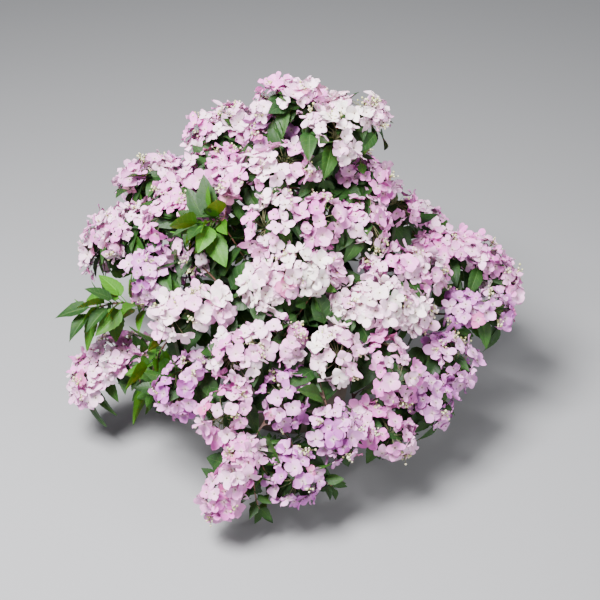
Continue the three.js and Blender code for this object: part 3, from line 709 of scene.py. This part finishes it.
def beads(middle, facing, radius, sides=6):
    """Low round beads: two rings and two poles each, from a sphere's sines and cosines."""
    turn = np.arange(sides) * 2 * np.pi / sides
    first, second = frames(facing, 0 * middle[:, 0])
    ring = np.cos(turn)[:, None, None] * first + np.sin(turn)[:, None, None] * second
    radius = np.broadcast_to(radius, len(middle))[:, None]
    low = (0.94 * ring - 0.34 * facing) * radius
    high = (0.77 * ring + 0.64 * facing) * radius
    shape = np.concatenate([low, high, [-facing * radius, facing * radius]]).transpose(1, 0, 2)
    points = middle[:, None] + shape
    k = np.arange(sides)
    onward = (k + 1) % sides
    walls = np.stack([k, onward, onward + sides, k + sides], axis=-1)
    under = np.stack([onward, k, 0 * k + 2 * sides], axis=-1)
    over = np.stack([k + sides, onward + sides, 0 * k + 2 * sides + 1], axis=-1)
    step = (np.arange(len(middle)) * (2 * sides + 2))[:, None, None]
    triangles = np.concatenate([under, over])[None] + step
    return points.reshape(-1, 3), (walls[None] + step).reshape(-1, 4), triangles.reshape(-1, 3)


def tubes(paths, radii):
    """Closed four-sided tubes along paths stacked as (tube, point, 3), with a radius for each point."""
    count, steps = paths.shape[:2]
    way = unit(np.gradient(paths, axis=1))
    first = unit(np.cross(way, np.array([0.12, 0.83, 0.29])))
    second = np.cross(way, first)
    turn = np.arange(4) * np.pi / 2
    ring = np.cos(turn)[:, None] * first[:, :, None] + np.sin(turn)[:, None] * second[:, :, None]
    points = paths[:, :, None] + np.asarray(radii)[..., None, None] * ring
    index = np.arange(steps * 4).reshape(steps, 4)
    faces = np.concatenate([ring_walls(index), index[:1, ::-1], index[-1:]])
    step = (np.arange(count) * steps * 4)[:, None, None]
    return points.reshape(-1, 3), (faces[None] + step).reshape(-1, 4)


def joined(*parts):
    """One array of points and one list of faces from parts that are each points, then arrays of faces."""
    faces, shift = [], 0
    for part_points, *part_faces in parts:
        faces += [face for some in part_faces for face in (some + shift).tolist()]
        shift += len(part_points)
    return np.concatenate([part[0] for part in parts]), faces


def with_alpha(colours):
    """Colours with a fourth number, for how solid they are."""
    return np.concatenate([colours, np.ones((*colours.shape[:-1], 1))], axis=-1)


petal = Finish("petal")
tint = petal.attribute("tint", out="Color")
along_sepal, across_sepal, _ = petal.parts(petal.attribute("on_sepal"))
spot = petal.place()
fan = petal.add("Math", {"operation": "SINE"}, [across_sepal * (11.0 + along_sepal * 5.0)])
vein = (abs(fan) * -1.0 + 1.0).smooth(0.55, 1.0) * along_sepal.smooth(0.02, 0.25)
blotch = petal.noise(spot, 60.0, 3.0).smooth(0.35, 0.75)
throat = 1 - along_sepal.smooth(0.04, 0.42)
edge = petal.add("Math", {"operation": "MAXIMUM"}, [abs(across_sepal), along_sepal]).smooth(0.62, 1.0)
pale = petal.mix(throat * 0.55, tint, tuple(linear(SEPAL_BASE)))
flushed = petal.mix(edge * 0.2 + blotch * 0.12, pale, tuple(linear(SEPAL_FLUSH)))
petal.set(
    Base_Color=petal.mix(vein * 0.16, flushed, tuple(linear(SEPAL_VEIN))),
    Roughness=(0.62 - blotch * 0.12 + vein * 0.05).held(),
    Normal=petal.bump(vein * 0.8 + blotch, 0.0004, 0.5),
    Subsurface_Weight=0.12,
    Specular_IOR_Level=0.35,
)
petal.shader.inputs["Subsurface Radius"].default_value = (0.01, 0.006, 0.006)


def excess(points, low, high):
    """How far each group of points stands out of a box, as a step that is taken back."""
    return np.maximum(points - high, 0).max(axis=1) + np.minimum(points - low, 0).min(axis=1)


heads = {}
for stool in GARLANDS:
    rows = {**GARLANDS[stool], **SPRIGS.get(stool, {})}
    for number, (name, (start, end, width, tint_name)) in enumerate(rows.items()):
        draws = np.random.default_rng([len(heads), number])
        arch = arch_between(start, end)
        if name not in GARLANDS[stool]:
            arch = arch.outer_half()
        thinning = -1 if name in FULL_GARLANDS else THINNING
        middle, facing, share, age = floret_places(arch, width / 1000, thinning, draws)
        points, faces, on_sepal = sepals(middle, facing, draws)
        florets = points.reshape(len(middle), -1, 3)
        step_in = excess(florets, *np.array(cad_box))
        points, middle = (florets - step_in[:, None]).reshape(-1, 3), middle - step_in
        fresh, mature = (linear(colour) for colour in TINTS[tint_name])
        floret_colours = fresh + age * (mature - fresh)
        deep = DEEP_STRENGTH * (draws.random((len(middle), 1)) < DEEP_SHARE)
        floret_colours = floret_colours + deep * (linear(DEEP_PINK) - floret_colours)
        sepal_colours = np.repeat(floret_colours, 4, axis=0) * draws.uniform(0.84, 1.04, (4 * len(middle), 1))
        colours = np.repeat(sepal_colours, len(points) // len(sepal_colours), axis=0).clip(0, 1)
        eyes = beads(middle + EYE_LIFT * facing, facing, EYE_RADIUS)
        eye_and_shade_colours = np.broadcast_to(linear(EYE_AND_SHADE_COLOUR), eyes[0].shape)
        made = piece(
            f"florets_{name}",
            *joined((points, faces), eyes),
            petal,
            {
                "tint": with_alpha(np.concatenate([colours, eye_and_shade_colours])),
                "on_sepal": np.concatenate([on_sepal, np.tile([0.5, 0.0, 0.0], (len(eye_and_shade_colours), 1))]),
            },
            crease=BLADE_CREASE,
        )
        if name in GARLANDS[stool]:
            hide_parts(f"flowers_{name}")
        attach(made, "root")
        heads.setdefault(stool, []).append((arch, middle, facing, share, width / 1000))


# The flower stalks and buds
# A fine green-pink stalk carries each floret from the nearest knot of its cane. Small cream-green buds, which
# are the flowers that never open wide, stand on shorter stalks between the florets.

STALK_RADII = np.array([0.0011, 0.0008, 0.0006])
STALK_COLOUR = (98, 104, 58)
BUD_COLOURS = ((190, 198, 104), (244, 236, 206))
BUD_RADIUS = 0.0028
BUD_LIFT = (0.012, 0.019)
BOX_MARGIN = 0.005
SPRAYS_IN_HEAD = 3.5
BUDS_IN_SPRAY = 9
SPRAY_WIDTH = 0.011
FORK_LEVEL = 0.62


def stalk_paths(root, tip, out):
    """From the knot out along the way out, then bending over to the floret: three points of a quadratic
    curve."""
    t = np.array([[0], [0.5], [1]])
    reach = np.linalg.norm(tip - root, axis=-1, keepdims=True)
    bend = root + 0.45 * reach * out + 0.15 * (tip - root)
    root, bend, tip = (place[:, None] for place in (root, bend, tip))
    return (1 - t) ** 2 * root + 2 * t * (1 - t) * bend + t**2 * tip


def knots(arch, share):
    """The nearest middle of a head, as a share of the length, counted from the tip of the arch."""
    back = (1 - share) * arch.length / HEAD_SPACING
    return np.clip(1 - (np.floor(back) + 0.5) * HEAD_SPACING / arch.length, 0.06, 0.97)


stem = Finish("flower_stalk")
spot = stem.place()
fleck = stem.noise(spot, 300.0, 2.0)
stem.set(
    Base_Color=stem.mix(fleck * 0.4, stem.attribute("tint", out="Color"), (0.3, 0.2, 0.16)),
    Roughness=(0.5 + fleck * 0.15).held(),
    Subsurface_Weight=0.05,
)
for number, (stool, garlands) in enumerate(heads.items()):
    draws = np.random.default_rng([7, number])
    roots, tips, outs, buds = [], [], [], []
    for arch, middle, facing, share, width in garlands:
        at, _, out, _ = arch.station(knots(arch, share))
        roots.append(at)
        tips.append(middle - 0.001 * facing)
        outs.append(out)
        spray_count = int(SPRAYS_IN_HEAD * arch.length / HEAD_SPACING)
        spray_share = draws.uniform(0.04, 0.96, spray_count)
        spray_turn = draws.uniform(-1.3, 1.3, spray_count)
        fork = skin(arch, width, spray_share, spray_turn, FORK_LEVEL + 0 * spray_turn)
        at, _, out, _ = arch.station(knots(arch, spray_share))
        roots.append(at)
        tips.append(fork)
        outs.append(out)
        fork = np.repeat(fork, BUDS_IN_SPRAY, axis=0)
        away = unit(fork - np.repeat(at, BUDS_IN_SPRAY, axis=0))
        bud_at = fork + draws.uniform(*BUD_LIFT, (len(fork), 1)) * away
        bud_at = bud_at + draws.normal(0, SPRAY_WIDTH / 2, fork.shape)
        bud_at = bud_at.clip(np.array(cad_box[0]) + BOX_MARGIN, np.array(cad_box[1]) - BOX_MARGIN)
        roots.append(fork)
        tips.append(bud_at)
        outs.append(away)
        buds.append(bud_at)
    buds = np.concatenate(buds)
    paths = stalk_paths(*(np.concatenate(each) for each in (roots, tips, outs)))
    stalks = tubes(paths, STALK_RADII)
    upwards = unit(draws.normal(0, 0.3, buds.shape) + UP)
    bud_beads = beads(buds, upwards, BUD_RADIUS * draws.uniform(0.6, 1.2, len(buds)))
    young, old = (linear(colour) for colour in BUD_COLOURS)
    bud_colours = young + draws.uniform(0, 1, (len(buds), 1)) * (old - young)
    bud_colours = np.repeat(bud_colours, len(bud_beads[0]) // len(buds), axis=0)
    stalk_colours = np.broadcast_to(linear(STALK_COLOUR), stalks[0].shape)
    made = piece(
        f"flower_stalks_{stool}",
        *joined(stalks, bud_beads),
        stem,
        {"tint": with_alpha(np.concatenate([stalk_colours, bud_colours]))},
    )
    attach(made, "root")


# The canes
# Smooth young canes of dark red-brown bark, which fork from a woody stool and thin to green-red twigs. They
# keep the course that the frame gives them.

LEAF_FOLD = 0.24
LEAF_DROOP = 0.2
STALK_SHARE = 0.2
RIB_SHARE = 0.5
RIB_THICKNESS = 0.0022
NOTCH_SHARE = 0.41
BARK_LEVELS = 2


def welded(node):
    """A copy of a node's mesh with its loose triangles joined."""
    body = bmesh.new()
    body.from_mesh(node.data)
    bmesh.ops.remove_doubles(body, verts=body.verts, dist=1e-5)
    mesh = bpy.data.meshes.new(node.name + "_welded")
    body.to_mesh(mesh)
    body.free()
    return mesh


def points_of(mesh):
    points = np.empty(len(mesh.vertices) * 3, np.float32)
    mesh.vertices.foreach_get("co", points)
    return points.reshape(-1, 3).astype(float)


def leaves_of(mesh):
    """Finds the leaves on a welded cane by the two points half-way along each rib, one above and one below
    the blade, whose gap no other two points have. Both meet the tip and three points of each edge, and each
    meets one point at the end of the stalk. Gives each leaf's root, its way forward, its upper side, its
    length and its width, and a mask of the points that belong to leaves."""
    points = points_of(mesh)
    ends = np.empty(len(mesh.edges) * 2, np.int32)
    mesh.edges.foreach_get("vertices", ends)
    touching = np.zeros((len(points), len(points)), dtype=bool)
    touching[ends[::2], ends[1::2]] = touching[ends[1::2], ends[::2]] = True
    gap = np.linalg.norm(points[:, None] - points[None], axis=-1)
    rib_gap = 2 * RIB_THICKNESS * (1 - RIB_SHARE)
    above, below = np.nonzero(np.triu(np.abs(gap - rib_gap) < 1e-5))
    shared = touching[above] & touching[below]
    real = shared.sum(axis=1) == 7
    above, below, shared = above[real], below[real], shared[real]
    stalk_above = np.argmax(touching[above] & ~touching[below], axis=1)
    stalk_below = np.argmax(touching[below] & ~touching[above], axis=1)
    stalk = (points[stalk_above] + points[stalk_below]) / 2
    tip_index = np.argmax(np.where(shared, np.linalg.norm(points[None] - stalk[:, None], axis=-1), 0), axis=1)
    blade = points[tip_index] - stalk
    top = unit(points[above] - points[below])
    top *= -np.sign(dot(blade, top))
    forward_share, fall_share = 1 - STALK_SHARE, LEAF_DROOP * (1 - STALK_SHARE**2)
    length = np.linalg.norm(blade, axis=-1, keepdims=True) / np.hypot(forward_share, fall_share)
    forward = unit(blade + fall_share * length * top)
    side = np.cross(top, forward)
    root = stalk - STALK_SHARE * length * forward + LEAF_DROOP * STALK_SHARE**2 * length * top
    across = np.abs(np.einsum("mnk,mk->mn", points[None] - root[:, None], side))
    width = np.max(np.where(shared, across, 0), axis=1)[:, None] / NOTCH_SHARE
    ahead = np.einsum("mnk,mk->mn", points[None] - root[:, None], forward) > 0.15 * length
    region = np.zeros_like(shared)
    region[np.arange(len(above)), tip_index] = True
    for _ in range(4):
        region |= (region.astype(np.float32) @ touching.astype(np.float32) > 0) & ahead
    return (root, forward, top, length, width), region.any(axis=0)


def bare(mesh, on_leaf):
    """Takes the leaves off a welded cane, closes the holes and turns its triangles back into squares."""
    body = bmesh.new()
    body.from_mesh(mesh)
    body.verts.ensure_lookup_table()
    bmesh.ops.delete(body, geom=[body.verts[index] for index in np.nonzero(on_leaf)[0]], context="VERTS")
    bmesh.ops.holes_fill(body, edges=[edge for edge in body.edges if edge.is_boundary], sides=6)
    bmesh.ops.join_triangles(
        body, faces=body.faces[:], angle_face_threshold=0.6, angle_shape_threshold=3.0, cmp_seam=False
    )
    body.to_mesh(mesh)
    body.free()


bark = Finish("bark")
spot = bark.place()
height_on_cane = bark.parts(spot)[2]
grain = bark.noise(bark.add("Mapping", {}, {"Vector": spot, "Scale": (1, 1, 0.25)}), 340.0, 3.0)
patch = bark.noise(spot, 30.0, 3.0)
lenticel = bark.noise(spot, 700.0, 1.0).smooth(0.66, 0.72)
young_bark = height_on_cane.smooth(0.33, 0.75) * 0.55 + patch.smooth(0.4, 0.7) * 0.3
bark_colour = bark.mix(young_bark, tuple(linear((70, 44, 36))), tuple(linear((118, 66, 52))))
bark.set(
    Base_Color=bark.mix(lenticel * 0.5, bark_colour, tuple(linear((168, 130, 104)))),
    Roughness=(0.5 + grain * 0.25).held(),
    Normal=bark.bump(grain + lenticel * 0.6, 0.0006, 0.6),
)
leaf_frames, bare_canes = {}, {}
for stool in GARLANDS:
    mesh = welded(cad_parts[f"canes_{stool}"])
    leaf_frames[stool], on_leaf = leaves_of(mesh)
    bare(mesh, on_leaf)
    bare_canes[stool] = mesh
    made = placed(f"bark_{stool}", mesh, bark)
    round_off = made.modifiers.new("round", "SUBSURF")
    round_off.levels = round_off.render_levels = BARK_LEVELS
    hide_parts(f"canes_{stool}")
    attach(made, "root")


# The leaves
# Oval, pointed leaves with saw-toothed edges and sunken veins, on short stalks, in pairs along the canes. The
# shoots and the tips of the canes carry fresh lime-green ones, and the others are older and darker green. The
# near-black green of the leaves inside the plant and under the flowers is painted shade.

LEAF_THICKNESS = 0.0006
FINE_LEAF = (7, 7)
PLAIN_LEAF = (3, 5)
LEAF_STALK_RADII = np.array([0.0016, 0.0013, 0.0012, 0.0008])
VEINS = 6
FRESH_LEAF = (50, 106, 2)
# The dark end of the leaf greens is the green of old leaves, darkened further as painted shade.
OLD_AND_SHADED_LEAF = (18, 48, 16)
TWIG_COLOUR = (120, 70, 48)
UNDER_SIZE = (0.078, 0.036)
UNDER_SHARES = np.array([0.04, 0.3, 0.55, 0.8, 0.98])
SHOOT = (6, 0.088, 0.032)
TWIG = (9, 0.06, 0.031)
SHADE_SIZE = (0.088, 0.042)
SHADE_LEAVES = 110
BACKING_LEAVES = 10
BACKING_SIZE = (0.07, 0.04)
RIM_CLEARANCE = 0.025
SHOOT_REACH = 0.03
TWIG_RADII = np.linspace(0.0024, 0.001, 7)

TWIGS = {
    "crown": {"top_twig": ((95, 60, 785), (165, -20, 700))},
    "left": {
        "inner_twig": ((-160, -40, 565), (-222, -50, 470)),
        "heart_left_twig": ((-160, -40, 565), (-95, -60, 450)),
        "outer_twig": ((-160, -40, 565), (-285, -90, 425)),
        "shade_twig": ((-335, 95, 500), (-290, 150, 265)),
    },
    "back_left": {
        "low_twig": ((-190, 400, 370), (-120, 320, 225)),
        "inner_twig": ((-290, 300, 500), (-150, 290, 300)),
    },
    "back": {"low_twig": ((0, 430, 330), (-70, 360, 220))},
    "front_left": {
        "side_twig": ((-205, -305, 350), (-325, -285, 235)),
        "gap_twig": ((-345, -100, 225), (-325, -235, 175)),
        "gap_high_twig": ((-345, -100, 225), (-300, -205, 290)),
    },
    "front_right": {"lower_twig": ((385, -85, 330), (370, -170, 255))},
    "right": {
        "crown_twig": ((146, -40, 597), (190, -70, 480)),
        "shoulder_twig": ((170, 60, 550), (235, -10, 430)),
    },
    "front": {
        "heart_twig": ((95, -170, 510), (15, -260, 440)),
        "trail_twig": ((-80, -448, 235), (-62, -482, 55)),
        "trail_side_twig": ((-80, -448, 235), (-30, -455, 130)),
        "trail_back_twig": ((-80, -448, 235), (-45, -370, 160)),
        "low_back_twig": ((15, -445, 215), (5, -340, 150)),
        "low_twig": ((15, -445, 215), (105, -438, 95)),
    },
}


def leaf_blades(leaves, teeth, columns, draws):
    """The blade of each leaf, from the end of its stalk to its tip. Its half width follows a sine that peaks
    before the middle, cut by saw teeth that lean forward. It folds up along the rib and droops as the square
    of the way along, and its surface dips at the rib and at each side vein."""
    root, forward, top, length, width = leaves
    rows = 2 * teeth + 1
    t, across = np.meshgrid(np.linspace(0, 1, rows), np.linspace(-1, 1, columns), indexing="ij")
    tooth = np.where(np.arange(rows) % 2, 1.0, 0.0)[:, None] * (1 - t)
    half = 0.5 * np.sin(np.pi * np.clip(t, 0, 1) ** 0.65) ** 0.9 * (0.93 + 0.12 * tooth) + 0.012 * (1 - t)
    ahead = STALK_SHARE + (1 - STALK_SHARE) * (t + 0.02 * tooth * np.abs(across) ** 2)
    vein_place = VEINS * (t**0.9 - 0.16 * np.abs(across))
    dip = np.abs(np.sin(np.pi * vein_place)) * np.clip(1 - np.abs(across), 0, 1) ** 0.5
    dip = dip * np.clip(4 * np.abs(across), 0, 1)
    count = len(root)
    wave = draws.uniform(0, 2 * np.pi, (count, 1, 1))
    curl = draws.uniform(0.6, 1.5, (count, 1, 1))
    length, width = length[:, :, None], width[:, :, None]
    x = length * ahead
    y = width * half * across
    z = LEAF_FOLD * np.abs(y) * curl - LEAF_DROOP * x * x / length
    z = z + 0.022 * length * dip * np.sin(np.pi * t) + 0.012 * length * across * np.sin(7 * t + wave)
    side = np.cross(top, forward)
    place = [axis[:, None, None] for axis in (root, forward, side, top)]
    upper = place[0] + x[..., None] * place[1] + y[..., None] * place[2] + z[..., None] * place[3]
    return *blades(upper, upper - LEAF_THICKNESS * place[3]), np.stack([t, across, 0 * t], axis=-1)


def leaf_stalks(root, forward, top, length):
    """A stalk from inside the cane to a little past the foot of the blade, just under it."""
    share = np.linspace(-0.04, STALK_SHARE + 0.04, 4)[:, None]
    drop = LEAF_DROOP * np.abs(share) * share + 0.004
    return root[:, None] + length[:, None] * (share * forward[:, None] - drop * top[:, None])


def upper_side(forward, wish):
    """The way up out of each blade: the wished way, less the part that lies along the leaf."""
    return unit(wish - dot(wish, forward) * forward)


def under_leaves(arch, width, draws):
    """Pairs of leaves along an arch below its flowers. Each leans forward along the cane and out to its
    side, and hangs a little."""
    share = np.repeat(UNDER_SHARES, 2) + draws.normal(0, 0.02, 2 * len(UNDER_SHARES))
    hand = np.tile([1.0, -1.0], len(UNDER_SHARES))[:, None]
    at, along, out, side = arch.station(np.clip(share, 0, 1))
    lean, hang = draws.uniform(0.1, 0.9, (2, len(share), 1))
    forward = unit(hand * side + lean * along - (0.2 + 0.8 * hang) * out)
    size = draws.uniform(0.85, 1.25, (len(share), 1))
    return at, forward, upper_side(forward, out), UNDER_SIZE[0] * size + 0.2 * width, UNDER_SIZE[1] * size


def backing_leaves(arch, width, draws):
    """Leaves that lie along an arch close under its flowers, in the shade, with their upper sides
    outwards."""
    count = round(BACKING_LEAVES * arch.length / HEAD_SPACING)
    share = draws.uniform(0, 0.9, count)
    turn = draws.uniform(-1.25, 1.25, (count, 1))
    at, along, out, side = arch.station(share)
    away = np.cos(turn) * out + np.sin(turn) * side
    forward = unit(along + 0.8 * np.sin(turn) * side + 0.35 * away + draws.normal(0, 0.25, at.shape))
    size = draws.uniform(0.8, 1.2, (count, 1))
    start = at + 0.1 * width * np.sin(turn) * side
    return start, forward, upper_side(forward, away), BACKING_SIZE[0] * size, BACKING_SIZE[1] * size


def shoot_leaves(arch, pairs, long, wide, draws):
    """Pairs of leaves along a shoot, each pair a quarter turn from the last. Towards the tip they get
    smaller and stand up along the shoot."""
    pair = np.repeat(np.arange(pairs), 2)
    share = (pair + 0.6) / (pairs - 0.4)
    turn = np.pi / 2 * pair + np.tile([0, np.pi], pairs) + 0.5 + draws.normal(0, 0.15, len(pair))
    at, along, out, side = arch.station(share.clip(0, 1))
    share, turn = share[:, None], turn[:, None]
    forward = unit(np.cos(turn) * side + np.sin(turn) * out + (0.35 + 0.9 * share) * along)
    size = draws.uniform(0.9, 1.1, share.shape) * (1.1 - 0.5 * share)
    return at, forward, upper_side(forward, along + 0.5 * UP), long * size, wide * size


def shade_leaves(mesh, draws):
    """Leaves at places drawn evenly over the surface of the canes, clear of the pot and the compost. They
    lean out from the cane, away from the heart of the plant and a little up."""
    mesh.calc_loop_triangles()
    corners = np.empty(len(mesh.loop_triangles) * 3, np.int32)
    mesh.loop_triangles.foreach_get("vertices", corners)
    a, b, c = points_of(mesh)[corners.reshape(-1, 3)].transpose(1, 0, 2)
    across = np.cross(b - a, c - a)
    area = np.linalg.norm(across, axis=-1) * (a[:, 2] > POT_HEIGHT + RIM_CLEARANCE)
    chosen = draws.choice(len(area), SHADE_LEAVES, p=area / area.sum())
    at = (a[chosen] + b[chosen] + c[chosen]) / 3
    normal = unit(across[chosen])
    radial = unit((at - HEART) * [1, 1, 0.3])
    forward = unit(0.8 * normal + 0.55 * radial + 0.15 * UP + draws.normal(0, 0.25, at.shape))
    size = draws.uniform(0.75, 1.25, (len(at), 1))
    top = upper_side(forward, UP + 0.4 * radial)
    return at - 0.003 * normal, forward, top, SHADE_SIZE[0] * size, SHADE_SIZE[1] * size


def depth_in_flowers(points):
    """How deep each point is in the nearest garland: 0 on its line, 1 at its skin and more outside it."""
    depth = np.full(len(points), 9.0)
    for arch, _, _, _, width in (garland for garlands in heads.values() for garland in garlands):
        at, along, out, side = arch.station(np.linspace(0.05, 0.95, 9))
        away = points[:, None] - at
        nearest = np.argmin(np.sum(away**2, axis=-1), axis=1)
        away = away[np.arange(len(points)), nearest]
        high = (np.sum(away * out[nearest], axis=-1) - GARLAND_LIFT) / GARLAND_HEIGHT
        wide = np.sum(away * side[nearest], axis=-1) / width
        beyond = np.sum(away * along[nearest], axis=-1) / GARLAND_HEIGHT
        depth = np.minimum(depth, np.sqrt(high**2 + wide**2 + beyond**2))
    return depth


def on_rib(leaves, share):
    """The place on the rib of each leaf at a share of its length."""
    root, forward, top, length, _ = leaves
    return root + share * length * forward - LEAF_DROOP * share**2 * length * top


def hidden(leaves):
    """The leaves that don't come up through the flowers from below."""
    depth_of_middle, depth_of_tip = (depth_in_flowers(on_rib(leaves, share)) for share in (0.55, 1.0))
    through = (depth_of_middle < 0.95) & (depth_of_tip > 0.85) | (abs(depth_of_tip - 1) < 0.2)
    return [each[~through] for each in leaves]


def kept(leaves, freshness_and_light):
    """Leaves, and how fresh and how lit each is painted, less those that would leave the plant's box or touch
    the pot.
    """
    width = leaves[-1]
    low, high = (np.array(corner) for corner in cad_box)
    clear = np.ones(len(width), dtype=bool)
    for share, margin in ((0.5, width / 2), (1.0, width / 5)):
        reach = on_rib(leaves, share)
        clear &= np.all((reach > low + margin) & (reach < high - margin), axis=1)
        over_pot = np.linalg.norm(reach[:, :2], axis=1) < RIM_RADIUS + RIM_CLEARANCE
        clear &= ~(over_pot & (reach[:, 2] < POT_HEIGHT + RIM_CLEARANCE))
    return [each[clear] for each in leaves], np.broadcast_to(freshness_and_light, (len(width), 1))[clear]


def foliage(name, parts, grid, draws):
    """One piece from sets of leaves, each with how fresh and how lit its leaves are painted, on a grid of so
    many teeth and columns."""
    parts = [kept(*part) for part in parts]
    leaves = [np.concatenate(each) for each in zip(*(part[0] for part in parts))]
    freshness_and_light = np.concatenate([part[1] for part in parts])
    points, faces, on_leaf = leaf_blades(leaves, *grid, draws)
    root, forward, top, length, _ = leaves
    stalk_points, stalk_faces = tubes(leaf_stalks(root, forward, top, length), LEAF_STALK_RADII)
    colours = linear(OLD_AND_SHADED_LEAF) + freshness_and_light * (linear(FRESH_LEAF) - linear(OLD_AND_SHADED_LEAF))
    tints = [np.repeat(colours, len(each) // len(root), axis=0) for each in (points, stalk_points)]
    on_leaves = [on_blades(on_leaf, len(root)), np.tile([0.5, 0.3, 0.0], (len(stalk_points), 1))]
    return piece(
        name,
        *joined((points, faces), (stalk_points, stalk_faces)),
        leaf,
        {"tint": with_alpha(np.concatenate(tints)), "on_leaf": np.concatenate(on_leaves)},
        crease=BLADE_CREASE,
    )


leaf = Finish("leaf")
spot = leaf.place()
# The tint attribute holds each leaf's green, from fresh lime to old dark green. Its darkest greens are
# painted shade.
age = leaf.attribute("tint", out="Color")
along_leaf, across_leaf, _ = leaf.parts(leaf.attribute("on_leaf"))
vein_phase = (along_leaf**0.9 - abs(across_leaf) * 0.16) * (VEINS * np.pi)
wave = leaf.add("Math", {"operation": "SINE"}, [vein_phase])
side_vein = 1 - abs(wave).smooth(0.0, 0.28)
midrib = 1 - abs(across_leaf).smooth(0.03, 0.09)
veins = leaf.add("Math", {"operation": "MAXIMUM"}, [midrib, side_vein * 0.7])
cells = leaf.noise(spot, 420.0, 3.0)
mottle = leaf.noise(spot, 45.0, 3.0)
green = leaf.mix(mottle.smooth(0.3, 0.75) * 0.16, age, tuple(linear((64, 104, 24))))
doubled = leaf.mix(1.0, green, green, blend="ADD")
vein_green = leaf.mix(1.0, doubled, (0.03, 0.04, 0.012), blend="ADD")
leaf.set(
    Base_Color=leaf.mix(veins * 0.4, green, vein_green),
    Roughness=(0.45 + cells * 0.2 + veins * 0.1).held(),
    Specular_IOR_Level=0.35,
    Normal=leaf.bump(cells * 0.3 - veins, 0.0007, 0.7),
    Subsurface_Weight=0.06,
)
for number, stool in enumerate(GARLANDS):
    draws = np.random.default_rng([31, number])
    shoots = [arch_between(*ends) for ends in SHOOTS.get(stool, {}).values()]
    twigs = [arch_between(*ends) for ends in TWIGS.get(stool, {}).values()]
    root = leaf_frames[stool][0]
    # The leaves from the frame and the under leaves are painted mostly dark: old leaves, darkened further as
    # painted shade under the flowers.
    fresh = draws.uniform(0.0, 0.3, (len(root), 1))
    for arch in shoots:
        near = np.linalg.norm(root[:, None] - arch.at(arch.steps), axis=-1).min(axis=1) < SHOOT_REACH
        fresh[near] = draws.uniform(0.6, 1.0, (near.sum(), 1))
    parts = [(leaf_frames[stool], fresh)]
    parts += [
        (under_leaves(arch, width, draws), 0.5 * draws.beta(1, 3, (2 * len(UNDER_SHARES), 1)))
        for arch, _, _, _, width in heads[stool]
    ]
    parts += [
        (shoot_leaves(arch, *SHOOT, draws), draws.uniform(0.75, 1.0, (2 * SHOOT[0], 1)))
        for arch in shoots
    ]
    made = foliage(f"leaves_{stool}", parts, FINE_LEAF, draws)
    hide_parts(f"canes_{stool}")
    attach(made, "root")
    # The shade and backing leaves are painted near-black green, and the twig leaves dark, as painted shade
    # inside the plant and under the flowers.
    parts = [(hidden(shade_leaves(bare_canes[stool], draws)), 0.06)]
    parts += [(hidden(backing_leaves(arch, width, draws)), 0.03) for arch, _, _, _, width in heads[stool]]
    parts += [
        (shoot_leaves(arch, *TWIG, draws), draws.uniform(0.0, 0.35, (2 * TWIG[0], 1)))
        for arch in twigs
    ]
    shade = foliage(f"shade_leaves_{stool}", parts, PLAIN_LEAF, draws)
    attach(shade, "root")

twig_ends = [row[:2] for table in (TWIGS, SPRIGS) for rows in table.values() for row in rows.values()]
twig_paths = np.stack([arch_between(*ends).at(np.linspace(0, 1, len(TWIG_RADII))) for ends in twig_ends])
twig_points, twig_faces = tubes(twig_paths, TWIG_RADII)
twig_tint = np.broadcast_to(linear(TWIG_COLOUR), twig_points.shape)
twigs = piece("twigs", twig_points, twig_faces.tolist(), stem, {"tint": with_alpha(twig_tint)})
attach(twigs, "root")
